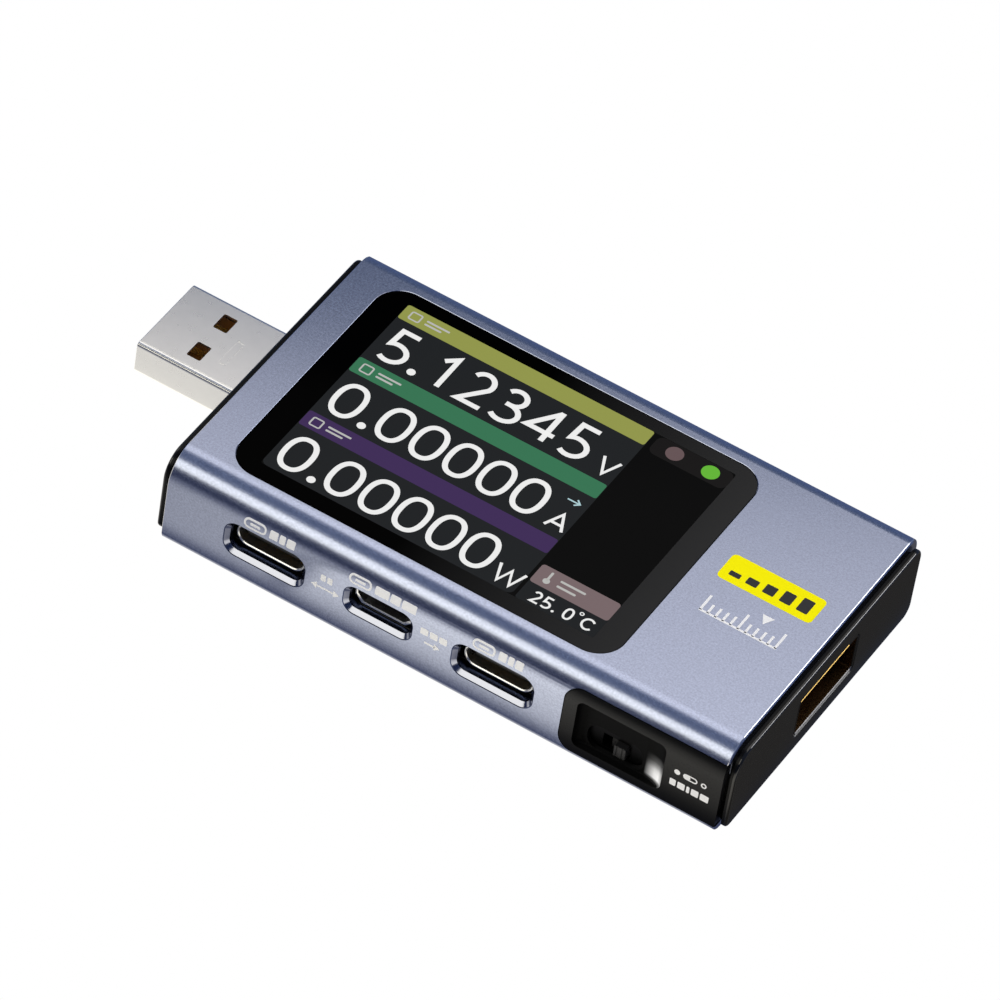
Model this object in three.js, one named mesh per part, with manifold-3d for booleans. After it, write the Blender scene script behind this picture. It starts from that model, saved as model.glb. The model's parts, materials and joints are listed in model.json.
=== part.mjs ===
// USB power meter: a pass-through voltage and current meter in an extruded aluminium sleeve.
// Frame: millimetres, +Z up. The origin is the centre of the sleeve's underside.
// +X runs along the length from the plug to the socket, and the row of ports faces -Y.
import * as THREE from 'three';
import { mergeVertices } from 'three/addons/utils/BufferGeometryUtils.js';
import Module from 'manifold-3d';

const wasm = await Module();
wasm.setup();

// ---------------------------------------------------------------- driving dimensions
const SLEEVE_LENGTH = 71.6;
const SLEEVE_WIDTH = 42.4;
const SLEEVE_HEIGHT = 12.7;
const SIDE_WALL = 1.4;
const TOP_WALL = 1.5;
const FLOOR_WALL = 1.2;
const CORNER_RADII = { frontLow: 1.65, frontHigh: 3.8, backHigh: 2.5, backLow: 2.4 };
const FIT_GAP = 0.1;
const TOUCH_GAP = 0.02;
const ARC_STEPS = 5;

const CAP_INSET = { side: 0.75, flat: 0.95 };
const CAP = { proud: 1.0, groove: 0.3, spigot: 3.2, wall: 1.0, bevel: 0.25, overlap: 0.3 };

const LENS = { x: -6.5, y: 0.28, length: 49.4, width: 35.1, radius: 3.5, thickness: 0.8, sunk: 0.02 };
const LENS_POCKET_DEPTH = 0.95;
const WINDOW = { length: 45.6, width: 32.8, radius: 2.0 };
const PANEL = { low: -31.9, high: 19.4, width: 34.6, glass: 1.1, backlight: 1.3, top: 11.1 };
const CARRIER = { high: 20.1, width: 38.4, bottom: 7.95, plate: 0.65, rim: 0.7, rimTop: 10.3 };

const LIGHT_BOX = { low: [-20, -8], high: [10, 8] };
const FLEX = { thickness: 0.14, reach: 21.2, foot: 18.1, low: -6.5, high: 5.5, rise: 0.9, drop: 0.5 };
const BOARD = { half: 32.3, width: 38.6, thickness: 1.2, top: 4.5 };
// Name, middle on the board, size and material of each block soldered on top of it.
const BOARD_PARTS = [
  ['flex_connector', [16.4, -0.5], [3.2, 13.0, 1.5], 'whitePlastic'],
  ['controller_chip', [-4.0, 2.0], [10.0, 10.0, 1.2], 'chipBlack'],
  ['measuring_chip', [-16.0, -3.0], [5.0, 4.4, 1.1], 'chipBlack'],
  ['charge_protocol_chip', [6.0, -6.0], [4.0, 4.0, 0.9], 'chipBlack'],
  ['shunt_resistor', [-22.0, 3.5], [3.2, 6.4, 0.8], 'chipBlack'],
  ['power_inductor', [7.5, 10.0], [4.0, 4.0, 2.0], 'chipBlack'],
  ['clock_crystal', [-4.0, -6.5], [3.2, 2.5, 0.8], 'steel'],
];
const RAIL = { reach: 0.9, top: 3.25, half: 32.2 };
const POST_RADIUS = 1.8;
const POST_PLACES = [[-29.7, -16.6], [15.0, -16.6], [-29.7, 16.6], [15.0, 16.6]];
const SCREW = { shaftRadius: 0.7, headRadius: 1.4, headHeight: 0.7, length: 4.0 };
const SCREW_SLOT = { width: 0.35, depth: 0.3 };

const CONNECTOR_Y = 0.25;
const PLUG = { z: 7.8, width: 12.0, height: 4.5, wall: 0.3, radius: 0.55, tip: 14.0, rear: -32.6 };
const PLUG_WINDOW = { fromTip: 5.25, length: 1.8, width: 2.55, offset: 2.75 };
const PLUG_TONGUE = { width: 11.1, height: 1.9, fromTip: 1.0, rear: -28.6 };
const PLUG_CONTACT = { width: 1.0, thickness: 0.15, fromTip: 1.4, innerLength: 7.4, outerLength: 6.4 };
const CONTACT_PITCH = { inner: 1.0, outer: 3.5 };
const SOCKET = { z: 6.3, width: 13.1, height: 5.7, wall: 0.3, radius: 0.6, depth: 14.0 };
const SOCKET_TONGUE = { width: 11.0, height: 1.7, aboveInner: 2.7, setBack: 0.85, base: 4.0 };
const SOCKET_CONTACT = { width: 0.9, thickness: 0.2, setBack: 2.4, length: 6.6 };

const TYPE_C = { z: 6.2, width: 8.94, height: 3.26, wall: 0.3, depth: 7.35, plugRoom: 5.2 };
const TYPE_C_TONGUE = { width: 6.69, height: 0.7, setBack: 0.7 };
const TYPE_C_PLACES = { usb_c_in: -22.75, usb_c_out: 6.75 };
const TYPE_C_SLOT = { width: 10.7, height: 5.0, radius: 1.8 };
const MICRO = { z: 6.5, width: 7.5, height: 2.7, taper: 0.9, lip: 0.2, wall: 0.3, depth: 5.6 };
const MICRO_PLUG_ROOM = 3.9;
const MICRO_TONGUE = { width: 3.9, height: 0.55, setBack: 0.7, drop: 0.45 };
const MICRO_IN_X = -8.05;
const DATA_PORT_X = 24.5;
const MICRO_SLOT = { width: 9.1, height: 4.2, radius: 1.6 };
const COUNTERSINK = 0.6; // a 45 degree chamfer, this deep

const NOTCH = { low: 15.6, bottom: 1.25, top: 10.8, radius: 2.0, sharp: 0.3 };
const BEZEL_GAP = 0.1;
const SCOOP = { low: 17.35, high: 28.6, bottom: 2.6, top: 9.3, radius: 0.9, depth: 1.0 };
const HOOK = { low: 5.4, high: 8.4 };
const SWITCH_SLOT = { x: 22.15, z: 4.2, length: 7.0, height: 3.8 };
const SWITCH = { x: 22.05, z: 3.8, length: 8.6, height: 3.4, depth: 3.4, front: -19.5, travel: 1.5 };
const KNOB = { x: 22.8, width: 1.5, height: 1.6, tip: -20.3 };
const SLIDER = { half: 1.6, rise: 1.1, near: 0.6, far: 2.0 };

const BUTTON_PLACES = [-22, -12, -2];
const BUTTON = { z: 6.2, width: 6.0, height: 3.0, proud: 0.55, holeGap: 0.15, bevel: 0.2 };
const FLANGE = { reach: 0.6, rise: 0.1, thickness: 0.6 };
const TACT = { width: 5.6, depth: 3.2, height: 3.3, plungerWidth: 2.4, plungerHeight: 1.4, reach: 0.7 };

// ---------------------------------------------------------------- derived places
const END = SLEEVE_LENGTH / 2;
const FRONT = -SLEEVE_WIDTH / 2;
const BACK = SLEEVE_WIDTH / 2;
const INNER_FRONT = FRONT + SIDE_WALL;
const INNER_BACK = BACK - SIDE_WALL;
const BOARD_BOTTOM = BOARD.top - BOARD.thickness;
const PLUG_TIP = -END - PLUG.tip;
const SOCKET_FACE = END + CAP.proud - 0.05;
const LENS_POCKET_FLOOR = SLEEVE_HEIGHT - LENS_POCKET_DEPTH;
const LENS_BOTTOM = SLEEVE_HEIGHT - LENS.sunk - LENS.thickness;

// ---------------------------------------------------------------- materials
function finish(color, roughness, metalness) {
  return new THREE.MeshStandardMaterial({ color, roughness, metalness });
}

const MATERIALS = {
  anodised: finish(0x8a94b4, 0.38, 0.9),
  blackPlastic: finish(0x1c1d1e, 0.45, 0.0),
  lensGlass: finish(0x050506, 0.08, 0.0),
  adhesive: finish(0x111111, 0.9, 0.0),
  panelGlass: finish(0x232527, 0.2, 0.0),
  whitePlastic: finish(0xd9d9d4, 0.5, 0.0),
  boardGreen: finish(0x14532f, 0.5, 0.0),
  flexAmber: finish(0xa86a1c, 0.4, 0.0),
  nickel: finish(0xbfc0be, 0.32, 1.0),
  orangePlastic: finish(0xb0651c, 0.5, 0.0),
  gold: finish(0xd9a441, 0.3, 1.0),
  chipBlack: finish(0x151515, 0.6, 0.0),
  steel: finish(0x9a9b9d, 0.35, 1.0),
};

// ---------------------------------------------------------------- solid helpers
function toSolid(geometry) {
  const bare = geometry.clone();
  bare.deleteAttribute('normal');
  bare.deleteAttribute('uv');
  const merged = mergeVertices(bare, 1e-5);
  const mesh = new wasm.Mesh({
    numProp: 3,
    vertProperties: new Float32Array(merged.attributes.position.array),
    triVerts: new Uint32Array(merged.index.array),
  });
  return new wasm.Manifold(mesh);
}

function toGeometry(solid) {
  const { vertProperties, triVerts } = solid.getMesh();
  const geometry = new THREE.BufferGeometry();
  geometry.setAttribute('position', new THREE.BufferAttribute(vertProperties, 3));
  geometry.setIndex(new THREE.BufferAttribute(triVerts, 1));
  geometry.computeVertexNormals();
  return geometry;
}

function join(...solids) {
  return solids.reduce((whole, solid) => whole.add(solid));
}

function cut(solid, ...tools) {
  return tools.reduce((rest, tool) => rest.subtract(tool), solid);
}

// A box given by its lowest and highest corners.
function box(low, high) {
  const size = high.map((value, axis) => value - low[axis]);
  const geometry = new THREE.BoxGeometry(...size);
  geometry.translate(...low.map((value, axis) => value + size[axis] / 2));
  return toSolid(geometry);
}

// Bases that lay a flat outline in the plane across an axis, in the order of its two coordinates.
const LAY = {
  x: [new THREE.Vector3(0, 1, 0), new THREE.Vector3(0, 0, 1), new THREE.Vector3(1, 0, 0)],
  y: [new THREE.Vector3(1, 0, 0), new THREE.Vector3(0, 0, 1), new THREE.Vector3(0, -1, 0)],
  z: [new THREE.Vector3(1, 0, 0), new THREE.Vector3(0, 1, 0), new THREE.Vector3(0, 0, 1)],
};

// A straight prism of an outline between two coordinates on an axis.
function prism(outline, axis, low, high, bevel = 0) {
  const options = { depth: high - low - 2 * bevel, bevelEnabled: bevel > 0, curveSegments: ARC_STEPS };
  Object.assign(options, { bevelThickness: bevel, bevelSize: bevel, bevelOffset: -bevel, bevelSegments: 2 });
  const geometry = new THREE.ExtrudeGeometry(outline, options);
  geometry.applyMatrix4(new THREE.Matrix4().makeBasis(...LAY[axis]));
  const start = axis === 'y' ? -(high - bevel) : low + bevel;
  geometry.translate(...LAY[axis][2].clone().multiplyScalar(start).toArray());
  return toSolid(geometry);
}

// A rounded outline between two corners, with a radius for each corner anticlockwise from the low one.
function roundedOutline(low, high, radii) {
  const [a, b, c, d] = radii;
  const shape = new THREE.Shape();
  shape.absarc(low[0] + a, low[1] + a, a, Math.PI, 1.5 * Math.PI);
  shape.absarc(high[0] - b, low[1] + b, b, 1.5 * Math.PI, 2 * Math.PI);
  shape.absarc(high[0] - c, high[1] - c, c, 0, 0.5 * Math.PI);
  shape.absarc(low[0] + d, high[1] - d, d, 0.5 * Math.PI, Math.PI);
  return shape;
}

function roundedRectangle(x, y, width, height, radius) {
  const low = [x - width / 2, y - height / 2];
  const high = [x + width / 2, y + height / 2];
  return roundedOutline(low, high, [radius, radius, radius, radius]);
}

// The points of a rounded rectangle with the same count for any size, for lofts.
function ring(x, z, width, height, radius, y) {
  const points = [];
  const corners = [[1, 1, 0], [-1, 1, 0.5], [-1, -1, 1], [1, -1, 1.5]];
  for (const [sideX, sideZ, turn] of corners) {
    for (let step = 0; step <= ARC_STEPS; step += 1) {
      const angle = Math.PI * (turn + 0.5 * step / ARC_STEPS);
      const px = x + sideX * (width / 2 - radius) + radius * Math.cos(angle);
      const pz = z + sideZ * (height / 2 - radius) + radius * Math.sin(angle);
      points.push(new THREE.Vector3(px, y, pz));
    }
  }
  return points;
}

// A closed solid through rings of equal count, ordered from low Y to high Y.
function loft(rings) {
  const count = rings[0].length;
  const positions = rings.flat().flatMap((point) => point.toArray());
  const index = [];
  for (let level = 0; level + 1 < rings.length; level += 1) {
    for (let side = 0; side < count; side += 1) {
      const next = (side + 1) % count;
      const a = level * count + side;
      const b = level * count + next;
      index.push(a, a + count, b, b, a + count, b + count);
    }
  }
  const last = (rings.length - 1) * count;
  for (let side = 1; side + 1 < count; side += 1) {
    index.push(0, side, side + 1);
    index.push(last, last + side + 1, last + side);
  }
  const geometry = new THREE.BufferGeometry();
  geometry.setAttribute('position', new THREE.Float32BufferAttribute(positions, 3));
  geometry.setIndex(index);
  return toSolid(geometry);
}

// The sleeve's cross-section, stepped inwards by separate amounts at the sides, top and floor.
function sleeveOutline(side = 0, top = 0, floor = 0, gap = 0) {
  const low = [FRONT + side + gap, floor + gap];
  const high = [BACK - side - gap, SLEEVE_HEIGHT - top - gap];
  const shrink = side + gap;
  const { frontLow, backLow, backHigh, frontHigh } = CORNER_RADII;
  const radii = [frontLow, backLow, backHigh, frontHigh].map((radius) => Math.max(radius - shrink, 0.4));
  return roundedOutline(low, high, radii);
}

function cylinder(x, y, radius, low, high, sides = 16) {
  const geometry = new THREE.CylinderGeometry(radius, radius, high - low, sides);
  geometry.rotateX(Math.PI / 2);
  geometry.translate(x, y, (low + high) / 2);
  return toSolid(geometry);
}

// ---------------------------------------------------------------- housing
function sleeveRail(side) {
  const inner = side * (INNER_BACK - RAIL.reach);
  const outer = side * (INNER_BACK + 0.2);
  const low = [-RAIL.half, Math.min(inner, outer), FLOOR_WALL - 0.2];
  return box(low, [RAIL.half, Math.max(inner, outer), RAIL.top]);
}

// A port opening with a chamfered mouth, from just outside the front wall to just inside it.
function portOpening(x, z, slot) {
  const outside = 0.2;
  const section = (spread, y) => {
    const size = [slot.width + 2 * spread, slot.height + 2 * spread];
    return ring(x, z, ...size, slot.radius + spread, y);
  };
  return loft([
    section(outside, FRONT - outside),
    section(-COUNTERSINK, FRONT + COUNTERSINK),
    section(-COUNTERSINK, INNER_FRONT + 0.2),
  ]);
}

function bezelNotch(gap) {
  const low = [NOTCH.low + gap, NOTCH.bottom + gap];
  const right = gap > 0 ? END - 0.05 : END + 1;
  const high = [right, NOTCH.top - gap];
  const outline = roundedOutline(low, high, [NOTCH.radius, NOTCH.sharp, NOTCH.sharp, NOTCH.radius]);
  return prism(outline, 'y', FRONT - 1, INNER_FRONT);
}

function buttonHole(x) {
  const size = [BUTTON.width + 2 * BUTTON.holeGap, BUTTON.height + 2 * BUTTON.holeGap];
  const outline = roundedRectangle(x, BUTTON.z, ...size, BUTTON.height / 2 - 0.2);
  return prism(outline, 'y', INNER_BACK - 0.2, BACK + 1);
}

function dataPortHole() {
  const { width, height } = MICRO_SLOT;
  const outline = roundedRectangle(DATA_PORT_X, MICRO.z, width, height, height / 2 - 0.1);
  return prism(outline, 'y', INNER_BACK - 0.2, BACK + 1);
}

function housingSleeve() {
  const outer = prism(sleeveOutline(), 'x', -END, END);
  const cavity = prism(sleeveOutline(SIDE_WALL, TOP_WALL, FLOOR_WALL), 'x', -END - 1, END + 1);
  const pocket = roundedRectangle(LENS.x, LENS.y, LENS.length + 0.2, LENS.width + 0.2, LENS.radius + 0.1);
  const window = roundedRectangle(LENS.x, LENS.y, WINDOW.length, WINDOW.width, WINDOW.radius);
  const reliefBack = INNER_FRONT + RAIL.reach + 0.1;
  const railRelief = box([NOTCH.low, INNER_FRONT - 0.05, FLOOR_WALL], [END, reliefBack, RAIL.top + 1]);
  const shell = join(cut(outer, cavity), sleeveRail(1), sleeveRail(-1));
  const ports = Object.values(TYPE_C_PLACES).map((x) => portOpening(x, TYPE_C.z, TYPE_C_SLOT));
  return cut(
    shell,
    prism(pocket, 'z', LENS_POCKET_FLOOR, SLEEVE_HEIGHT + 1),
    prism(window, 'z', SLEEVE_HEIGHT - TOP_WALL - 1, SLEEVE_HEIGHT),
    portOpening(MICRO_IN_X, MICRO.z, MICRO_SLOT),
    ...ports,
    bezelNotch(0),
    railRelief,
    dataPortHole(),
    ...BUTTON_PLACES.map(buttonHole),
  );
}

// An end cap for the +X end; the plug end's cap is its mirror image.
function endCap(opening) {
  const flange = sleeveOutline(CAP_INSET.side, CAP_INSET.flat, CAP_INSET.flat);
  const spigot = sleeveOutline(SIDE_WALL, TOP_WALL, FLOOR_WALL, FIT_GAP);
  const hollow = sleeveOutline(SIDE_WALL, TOP_WALL, FLOOR_WALL, FIT_GAP + CAP.wall);
  const face = END + CAP.proud;
  const back = END + CAP.groove;
  const plate = prism(flange, 'x', back, face, CAP.bevel);
  const inner = END - CAP.spigot;
  const ringPart = cut(prism(spigot, 'x', inner, back + CAP.overlap), prism(hollow, 'x', inner - 1, back));
  return cut(join(plate, ringPart), prism(opening, 'x', inner - 1, face + 1));
}

function mirroredX(solid) {
  return solid.mirror([1, 0, 0]);
}

// The outline of a cap's opening, a fit gap larger than the connector's shell all round.
function shellOpening({ z, width, height, radius }) {
  const size = [width + 2 * FIT_GAP, height + 2 * FIT_GAP];
  return roundedRectangle(CONNECTOR_Y, z, ...size, radius + FIT_GAP);
}

// The black insert around the slide switch, with a scooped finger recess and a slot for the knob.
function switchBezel() {
  const skin = prism(sleeveOutline(), 'x', NOTCH.low, END);
  const plate = skin.intersect(bezelNotch(BEZEL_GAP));
  const floorY = FRONT + SCOOP.depth;
  const width = SCOOP.high - SCOOP.low;
  const height = SCOOP.top - SCOOP.bottom;
  const middle = [(SCOOP.low + SCOOP.high) / 2, (SCOOP.bottom + SCOOP.top) / 2];
  const { x, z, length, height: slotHeight } = SWITCH_SLOT;
  const slotRadius = slotHeight / 2 - 0.05;
  const floorBack = floorY + 0.6;
  const padLow = [SCOOP.low - 0.3, INNER_FRONT - 0.2, SCOOP.bottom - 0.6];
  const pad = box(padLow, [SCOOP.high, floorBack, SCOOP.top - 0.6]);
  const scoop = loft([
    ring(...middle, width + 0.6, height + 0.4, SCOOP.radius, FRONT - 0.1),
    ring(...middle, width, height, SCOOP.radius, FRONT + 0.1),
    ring(x, z + 0.3, length + 0.6, slotHeight + 1.2, 1.2, floorY),
  ]);
  const slot = loft([
    ring(x, z, length, slotHeight, slotRadius, FRONT),
    ring(x, z, length, slotHeight, slotRadius, floorBack + 0.5),
  ]);
  const hookEnd = [NOTCH.low + 1.4, INNER_FRONT + 0.6, HOOK.high];
  const hook = box([NOTCH.low - 1.0, INNER_FRONT + 0.05, HOOK.low], hookEnd);
  const hookRoot = box([NOTCH.low + 0.3, INNER_FRONT - 0.3, HOOK.low], hookEnd);
  return cut(join(plate, pad, hook, hookRoot), scoop, slot);
}

// ---------------------------------------------------------------- display
function displayLens() {
  const outline = roundedRectangle(LENS.x, LENS.y, LENS.length, LENS.width, LENS.radius);
  return prism(outline, 'z', LENS_BOTTOM, LENS_BOTTOM + LENS.thickness, 0.1);
}

function lensAdhesive() {
  const outer = roundedRectangle(LENS.x, LENS.y, LENS.length - 0.4, LENS.width - 0.4, LENS.radius - 0.2);
  const inner = roundedRectangle(LENS.x, LENS.y, WINDOW.length + 0.4, WINDOW.width + 0.4, WINDOW.radius);
  const ringPart = prism(outer, 'z', LENS_POCKET_FLOOR, LENS_BOTTOM);
  return cut(ringPart, prism(inner, 'z', LENS_POCKET_FLOOR - 1, LENS_BOTTOM + 1));
}

function panelLayer(low, high, trim) {
  const half = PANEL.width / 2 - trim;
  return box([PANEL.low + trim, LENS.y - half, low], [PANEL.high - trim, LENS.y + half, high]);
}

function displayCarrier() {
  const half = CARRIER.width / 2;
  const plateTop = CARRIER.bottom + CARRIER.plate;
  const plate = box([PANEL.low, -half, CARRIER.bottom], [CARRIER.high, half, plateTop]);
  const inner = PANEL.width / 2 + FIT_GAP;
  const root = plateTop - 0.1;
  const rims = [LENS.y + inner, LENS.y - inner - CARRIER.rim].map((low) => (
    box([PANEL.low, low, root], [CARRIER.high, low + CARRIER.rim, CARRIER.rimTop])));
  const boreRadius = SCREW.shaftRadius + 0.05;
  const posts = POST_PLACES.map(([x, y]) => cylinder(x, y, POST_RADIUS, BOARD.top + TOUCH_GAP, root));
  const bores = POST_PLACES.map(([x, y]) => cylinder(x, y, boreRadius, BOARD.top - 1, CARRIER.bottom));
  const light = box([...LIGHT_BOX.low, CARRIER.bottom - 1], [...LIGHT_BOX.high, plateTop + 1]);
  return cut(join(plate, ...rims, ...posts), light, ...bores);
}

// The display's ribbon: out past the carrier's edge, down, and back to its connector on the board.
function displayFlex() {
  const { thickness, reach, foot } = FLEX;
  const top = PANEL.top - PANEL.glass - PANEL.backlight + FLEX.drop;
  const bottom = BOARD.top + FLEX.rise;
  const radius = (top - bottom) / 2;
  const shape = new THREE.Shape();
  shape.moveTo(PANEL.high + 0.05, top);
  shape.absarc(reach - radius, bottom + radius, radius, Math.PI / 2, -Math.PI / 2, true);
  shape.lineTo(foot, bottom);
  shape.lineTo(foot, bottom + thickness);
  shape.absarc(reach - radius, bottom + radius, radius - thickness, -Math.PI / 2, Math.PI / 2, false);
  shape.lineTo(PANEL.high + 0.05, top - thickness);
  return prism(shape, 'y', FLEX.low, FLEX.high);
}

// ---------------------------------------------------------------- circuit board
function mainBoard() {
  const half = BOARD.width / 2;
  const sheet = box([-BOARD.half, -half, BOARD_BOTTOM], [BOARD.half, half, BOARD.top]);
  const room = SOCKET.width / 2 + 0.2;
  const above = BOARD.top + 1.5;
  const socketLow = [SOCKET_FACE - SOCKET.depth - 0.2, CONNECTOR_Y - room, 0];
  const socketRoom = box(socketLow, [BOARD.half + 1, CONNECTOR_Y + room, above]);
  const gap = 0.15;
  const reach = SWITCH.length / 2 + gap;
  const switchBack = SWITCH.front + SWITCH.depth + gap;
  const switchRoom = box([SWITCH.x - reach, -half - 1, 0], [SWITCH.x + reach, switchBack, above]);
  const holes = POST_PLACES.map(([x, y]) => cylinder(x, y, SCREW.shaftRadius + gap, 0, above));
  return cut(sheet, socketRoom, switchRoom, ...holes);
}

function boardScrew([x, y]) {
  const seat = BOARD_BOTTOM - TOUCH_GAP;
  const headLow = seat - SCREW.headHeight;
  const head = cylinder(x, y, SCREW.headRadius, headLow, seat);
  const shaft = cylinder(x, y, SCREW.shaftRadius, seat - 0.1, seat + SCREW.length, 12);
  const across = SCREW_SLOT.width / 2;
  const reach = SCREW.headRadius * 0.7;
  const slots = [
    box([x - reach, y - across, headLow - 1], [x + reach, y + across, headLow + SCREW_SLOT.depth]),
    box([x - across, y - reach, headLow - 1], [x + across, y + reach, headLow + SCREW_SLOT.depth]),
  ];
  return cut(join(head, shaft), ...slots);
}

function boardPart([x, y], [length, width, height]) {
  const low = [x - length / 2, y - width / 2, BOARD.top + TOUCH_GAP];
  return box(low, [x + length / 2, y + width / 2, BOARD.top + TOUCH_GAP + height]);
}

// ---------------------------------------------------------------- USB-A plug and socket
function tube(outline, bore, axis, low, high) {
  return cut(prism(outline, axis, low, high), prism(bore, axis, low - 1, high + 1));
}

function rectangularTube({ z, width, height, wall, radius }, low, high) {
  const outer = roundedRectangle(CONNECTOR_Y, z, width, height, radius);
  const bore = [width - 2 * wall, height - 2 * wall];
  const inner = roundedRectangle(CONNECTOR_Y, z, ...bore, Math.max(radius - wall, 0.2));
  return tube(outer, inner, 'x', low, high);
}

function plugShell() {
  const shell = rectangularTube(PLUG, PLUG_TIP, PLUG.rear);
  const windowLow = PLUG_TIP + PLUG_WINDOW.fromTip;
  const windows = [-1, 1].map((side) => {
    const middle = CONNECTOR_Y + side * PLUG_WINDOW.offset;
    const low = [windowLow, middle - PLUG_WINDOW.width / 2, PLUG.z - PLUG.height];
    return box(low, [windowLow + PLUG_WINDOW.length, middle + PLUG_WINDOW.width / 2, PLUG.z + PLUG.height]);
  });
  return cut(shell, ...windows);
}

const PLUG_FLOOR = PLUG.z - PLUG.height / 2 + PLUG.wall;

function plugInsulator() {
  const half = PLUG_TONGUE.width / 2;
  const low = [PLUG_TIP + PLUG_TONGUE.fromTip, CONNECTOR_Y - half, PLUG_FLOOR + 0.05];
  const tongue = box(low, [PLUG.rear, CONNECTOR_Y + half, PLUG_FLOOR + 0.05 + PLUG_TONGUE.height]);
  const baseLow = [PLUG.rear + 0.05, CONNECTOR_Y - half, BOARD.top + TOUCH_GAP];
  const base = box(baseLow, [PLUG_TONGUE.rear, CONNECTOR_Y + half, PLUG_FLOOR + PLUG_TONGUE.height]);
  const bridgeLow = [PLUG.rear - 0.5, CONNECTOR_Y - half + 0.3, PLUG_FLOOR + 0.3];
  const bridgeHigh = [PLUG.rear + 0.5, CONNECTOR_Y + half - 0.3, PLUG_FLOOR + PLUG_TONGUE.height - 0.1];
  const bridge = box(bridgeLow, bridgeHigh);
  return join(tongue, base, bridge);
}

function contactOffset(number) {
  const side = number < 2 ? -1 : 1;
  const isOuter = number === 0 || number === 3;
  return side * (isOuter ? CONTACT_PITCH.outer : CONTACT_PITCH.inner);
}

function plugContact(number) {
  const isOuter = number === 0 || number === 3;
  const start = PLUG_TIP + PLUG_CONTACT.fromTip + (isOuter ? 0 : 1);
  const length = isOuter ? PLUG_CONTACT.innerLength : PLUG_CONTACT.outerLength;
  const middle = CONNECTOR_Y + contactOffset(number);
  const bottom = PLUG_FLOOR + 0.05 + PLUG_TONGUE.height;
  const low = [start, middle - PLUG_CONTACT.width / 2, bottom];
  return box(low, [start + length, middle + PLUG_CONTACT.width / 2, bottom + PLUG_CONTACT.thickness]);
}

function socketShell() {
  return rectangularTube(SOCKET, SOCKET_FACE - SOCKET.depth, SOCKET_FACE);
}

const SOCKET_FLOOR = SOCKET.z - SOCKET.height / 2 + SOCKET.wall;
const SOCKET_TONGUE_BOTTOM = SOCKET_FLOOR + SOCKET_TONGUE.aboveInner;

function socketTongue() {
  const half = SOCKET_TONGUE.width / 2;
  const rear = SOCKET_FACE - SOCKET.depth;
  const baseHalf = SOCKET.width / 2 - SOCKET.wall - 0.3;
  const baseLow = [rear, CONNECTOR_Y - baseHalf, SOCKET_FLOOR + 0.05];
  const baseTop = SOCKET.z + SOCKET.height / 2 - SOCKET.wall - 0.05;
  const base = box(baseLow, [rear + SOCKET_TONGUE.base, CONNECTOR_Y + baseHalf, baseTop]);
  const low = [rear, CONNECTOR_Y - half, SOCKET_TONGUE_BOTTOM];
  const front = SOCKET_FACE - SOCKET_TONGUE.setBack;
  const tongue = box(low, [front, CONNECTOR_Y + half, SOCKET_TONGUE_BOTTOM + SOCKET_TONGUE.height]);
  return join(base, tongue);
}

function socketContact(number) {
  const { width, thickness, setBack, length } = SOCKET_CONTACT;
  const front = SOCKET_FACE - setBack;
  const middle = CONNECTOR_Y + contactOffset(number);
  const low = [front - length, middle - width / 2, SOCKET_TONGUE_BOTTOM - thickness];
  return box(low, [front, middle + width / 2, SOCKET_TONGUE_BOTTOM]);
}

// ---------------------------------------------------------------- small ports
function typeCShell(x) {
  const { z, width, height, wall, depth } = TYPE_C;
  const mouth = INNER_FRONT + 0.05;
  const outer = roundedRectangle(x, z, width, height, height / 2 - 0.05);
  const inner = roundedRectangle(x, z, width - 2 * wall, height - 2 * wall, height / 2 - wall - 0.05);
  return tube(outer, inner, 'y', mouth, mouth + depth);
}

function typeCTongue(x) {
  const { z, width, height, wall, depth, plugRoom } = TYPE_C;
  const mouth = INNER_FRONT + 0.05;
  const inset = wall + 0.05;
  const outline = roundedRectangle(x, z, width - 2 * inset, height - 2 * inset, height / 2 - inset - 0.05);
  const base = prism(outline, 'y', mouth + plugRoom, mouth + depth);
  const half = TYPE_C_TONGUE.width / 2;
  const rise = TYPE_C_TONGUE.height / 2;
  const low = [x - half, mouth + TYPE_C_TONGUE.setBack, z - rise];
  const tongue = box(low, [x + half, mouth + depth, z + rise]);
  return join(base, tongue);
}

// Micro-B section: full width at the top, drawn in at the two lower corners.
function microOutline(x, shrink) {
  const { z, width, height, taper, lip } = MICRO;
  const half = width / 2 - shrink;
  const low = z - height / 2 + shrink;
  const high = z + height / 2 - shrink;
  const shape = new THREE.Shape();
  shape.moveTo(x - half + taper, low);
  shape.lineTo(x + half - taper, low);
  shape.lineTo(x + half, low + taper);
  shape.lineTo(x + half, high - lip);
  shape.lineTo(x + half - lip, high);
  shape.lineTo(x - half + lip, high);
  shape.lineTo(x - half, high - lip);
  shape.lineTo(x - half, low + taper);
  return shape;
}

// side is -1 for a port in the front wall and +1 for one in the back wall.
function microSpan(side, from, to) {
  const mouth = INNER_BACK - 0.05;
  const ends = [side * (mouth - from), side * (mouth - to)];
  return [Math.min(...ends), Math.max(...ends)];
}

function microShell(x, side) {
  return tube(microOutline(x, 0), microOutline(x, MICRO.wall), 'y', ...microSpan(side, 0, MICRO.depth));
}

function microTongue(x, side) {
  const rear = microSpan(side, MICRO_PLUG_ROOM, MICRO.depth);
  const base = prism(microOutline(x, MICRO.wall + 0.05), 'y', ...rear);
  const [near, far] = microSpan(side, MICRO_TONGUE.setBack, MICRO.depth);
  const top = MICRO.z + MICRO.height / 2 - MICRO.wall - MICRO_TONGUE.drop;
  const half = MICRO_TONGUE.width / 2;
  return join(base, box([x - half, near, top - MICRO_TONGUE.height], [x + half, far, top]));
}

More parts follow.
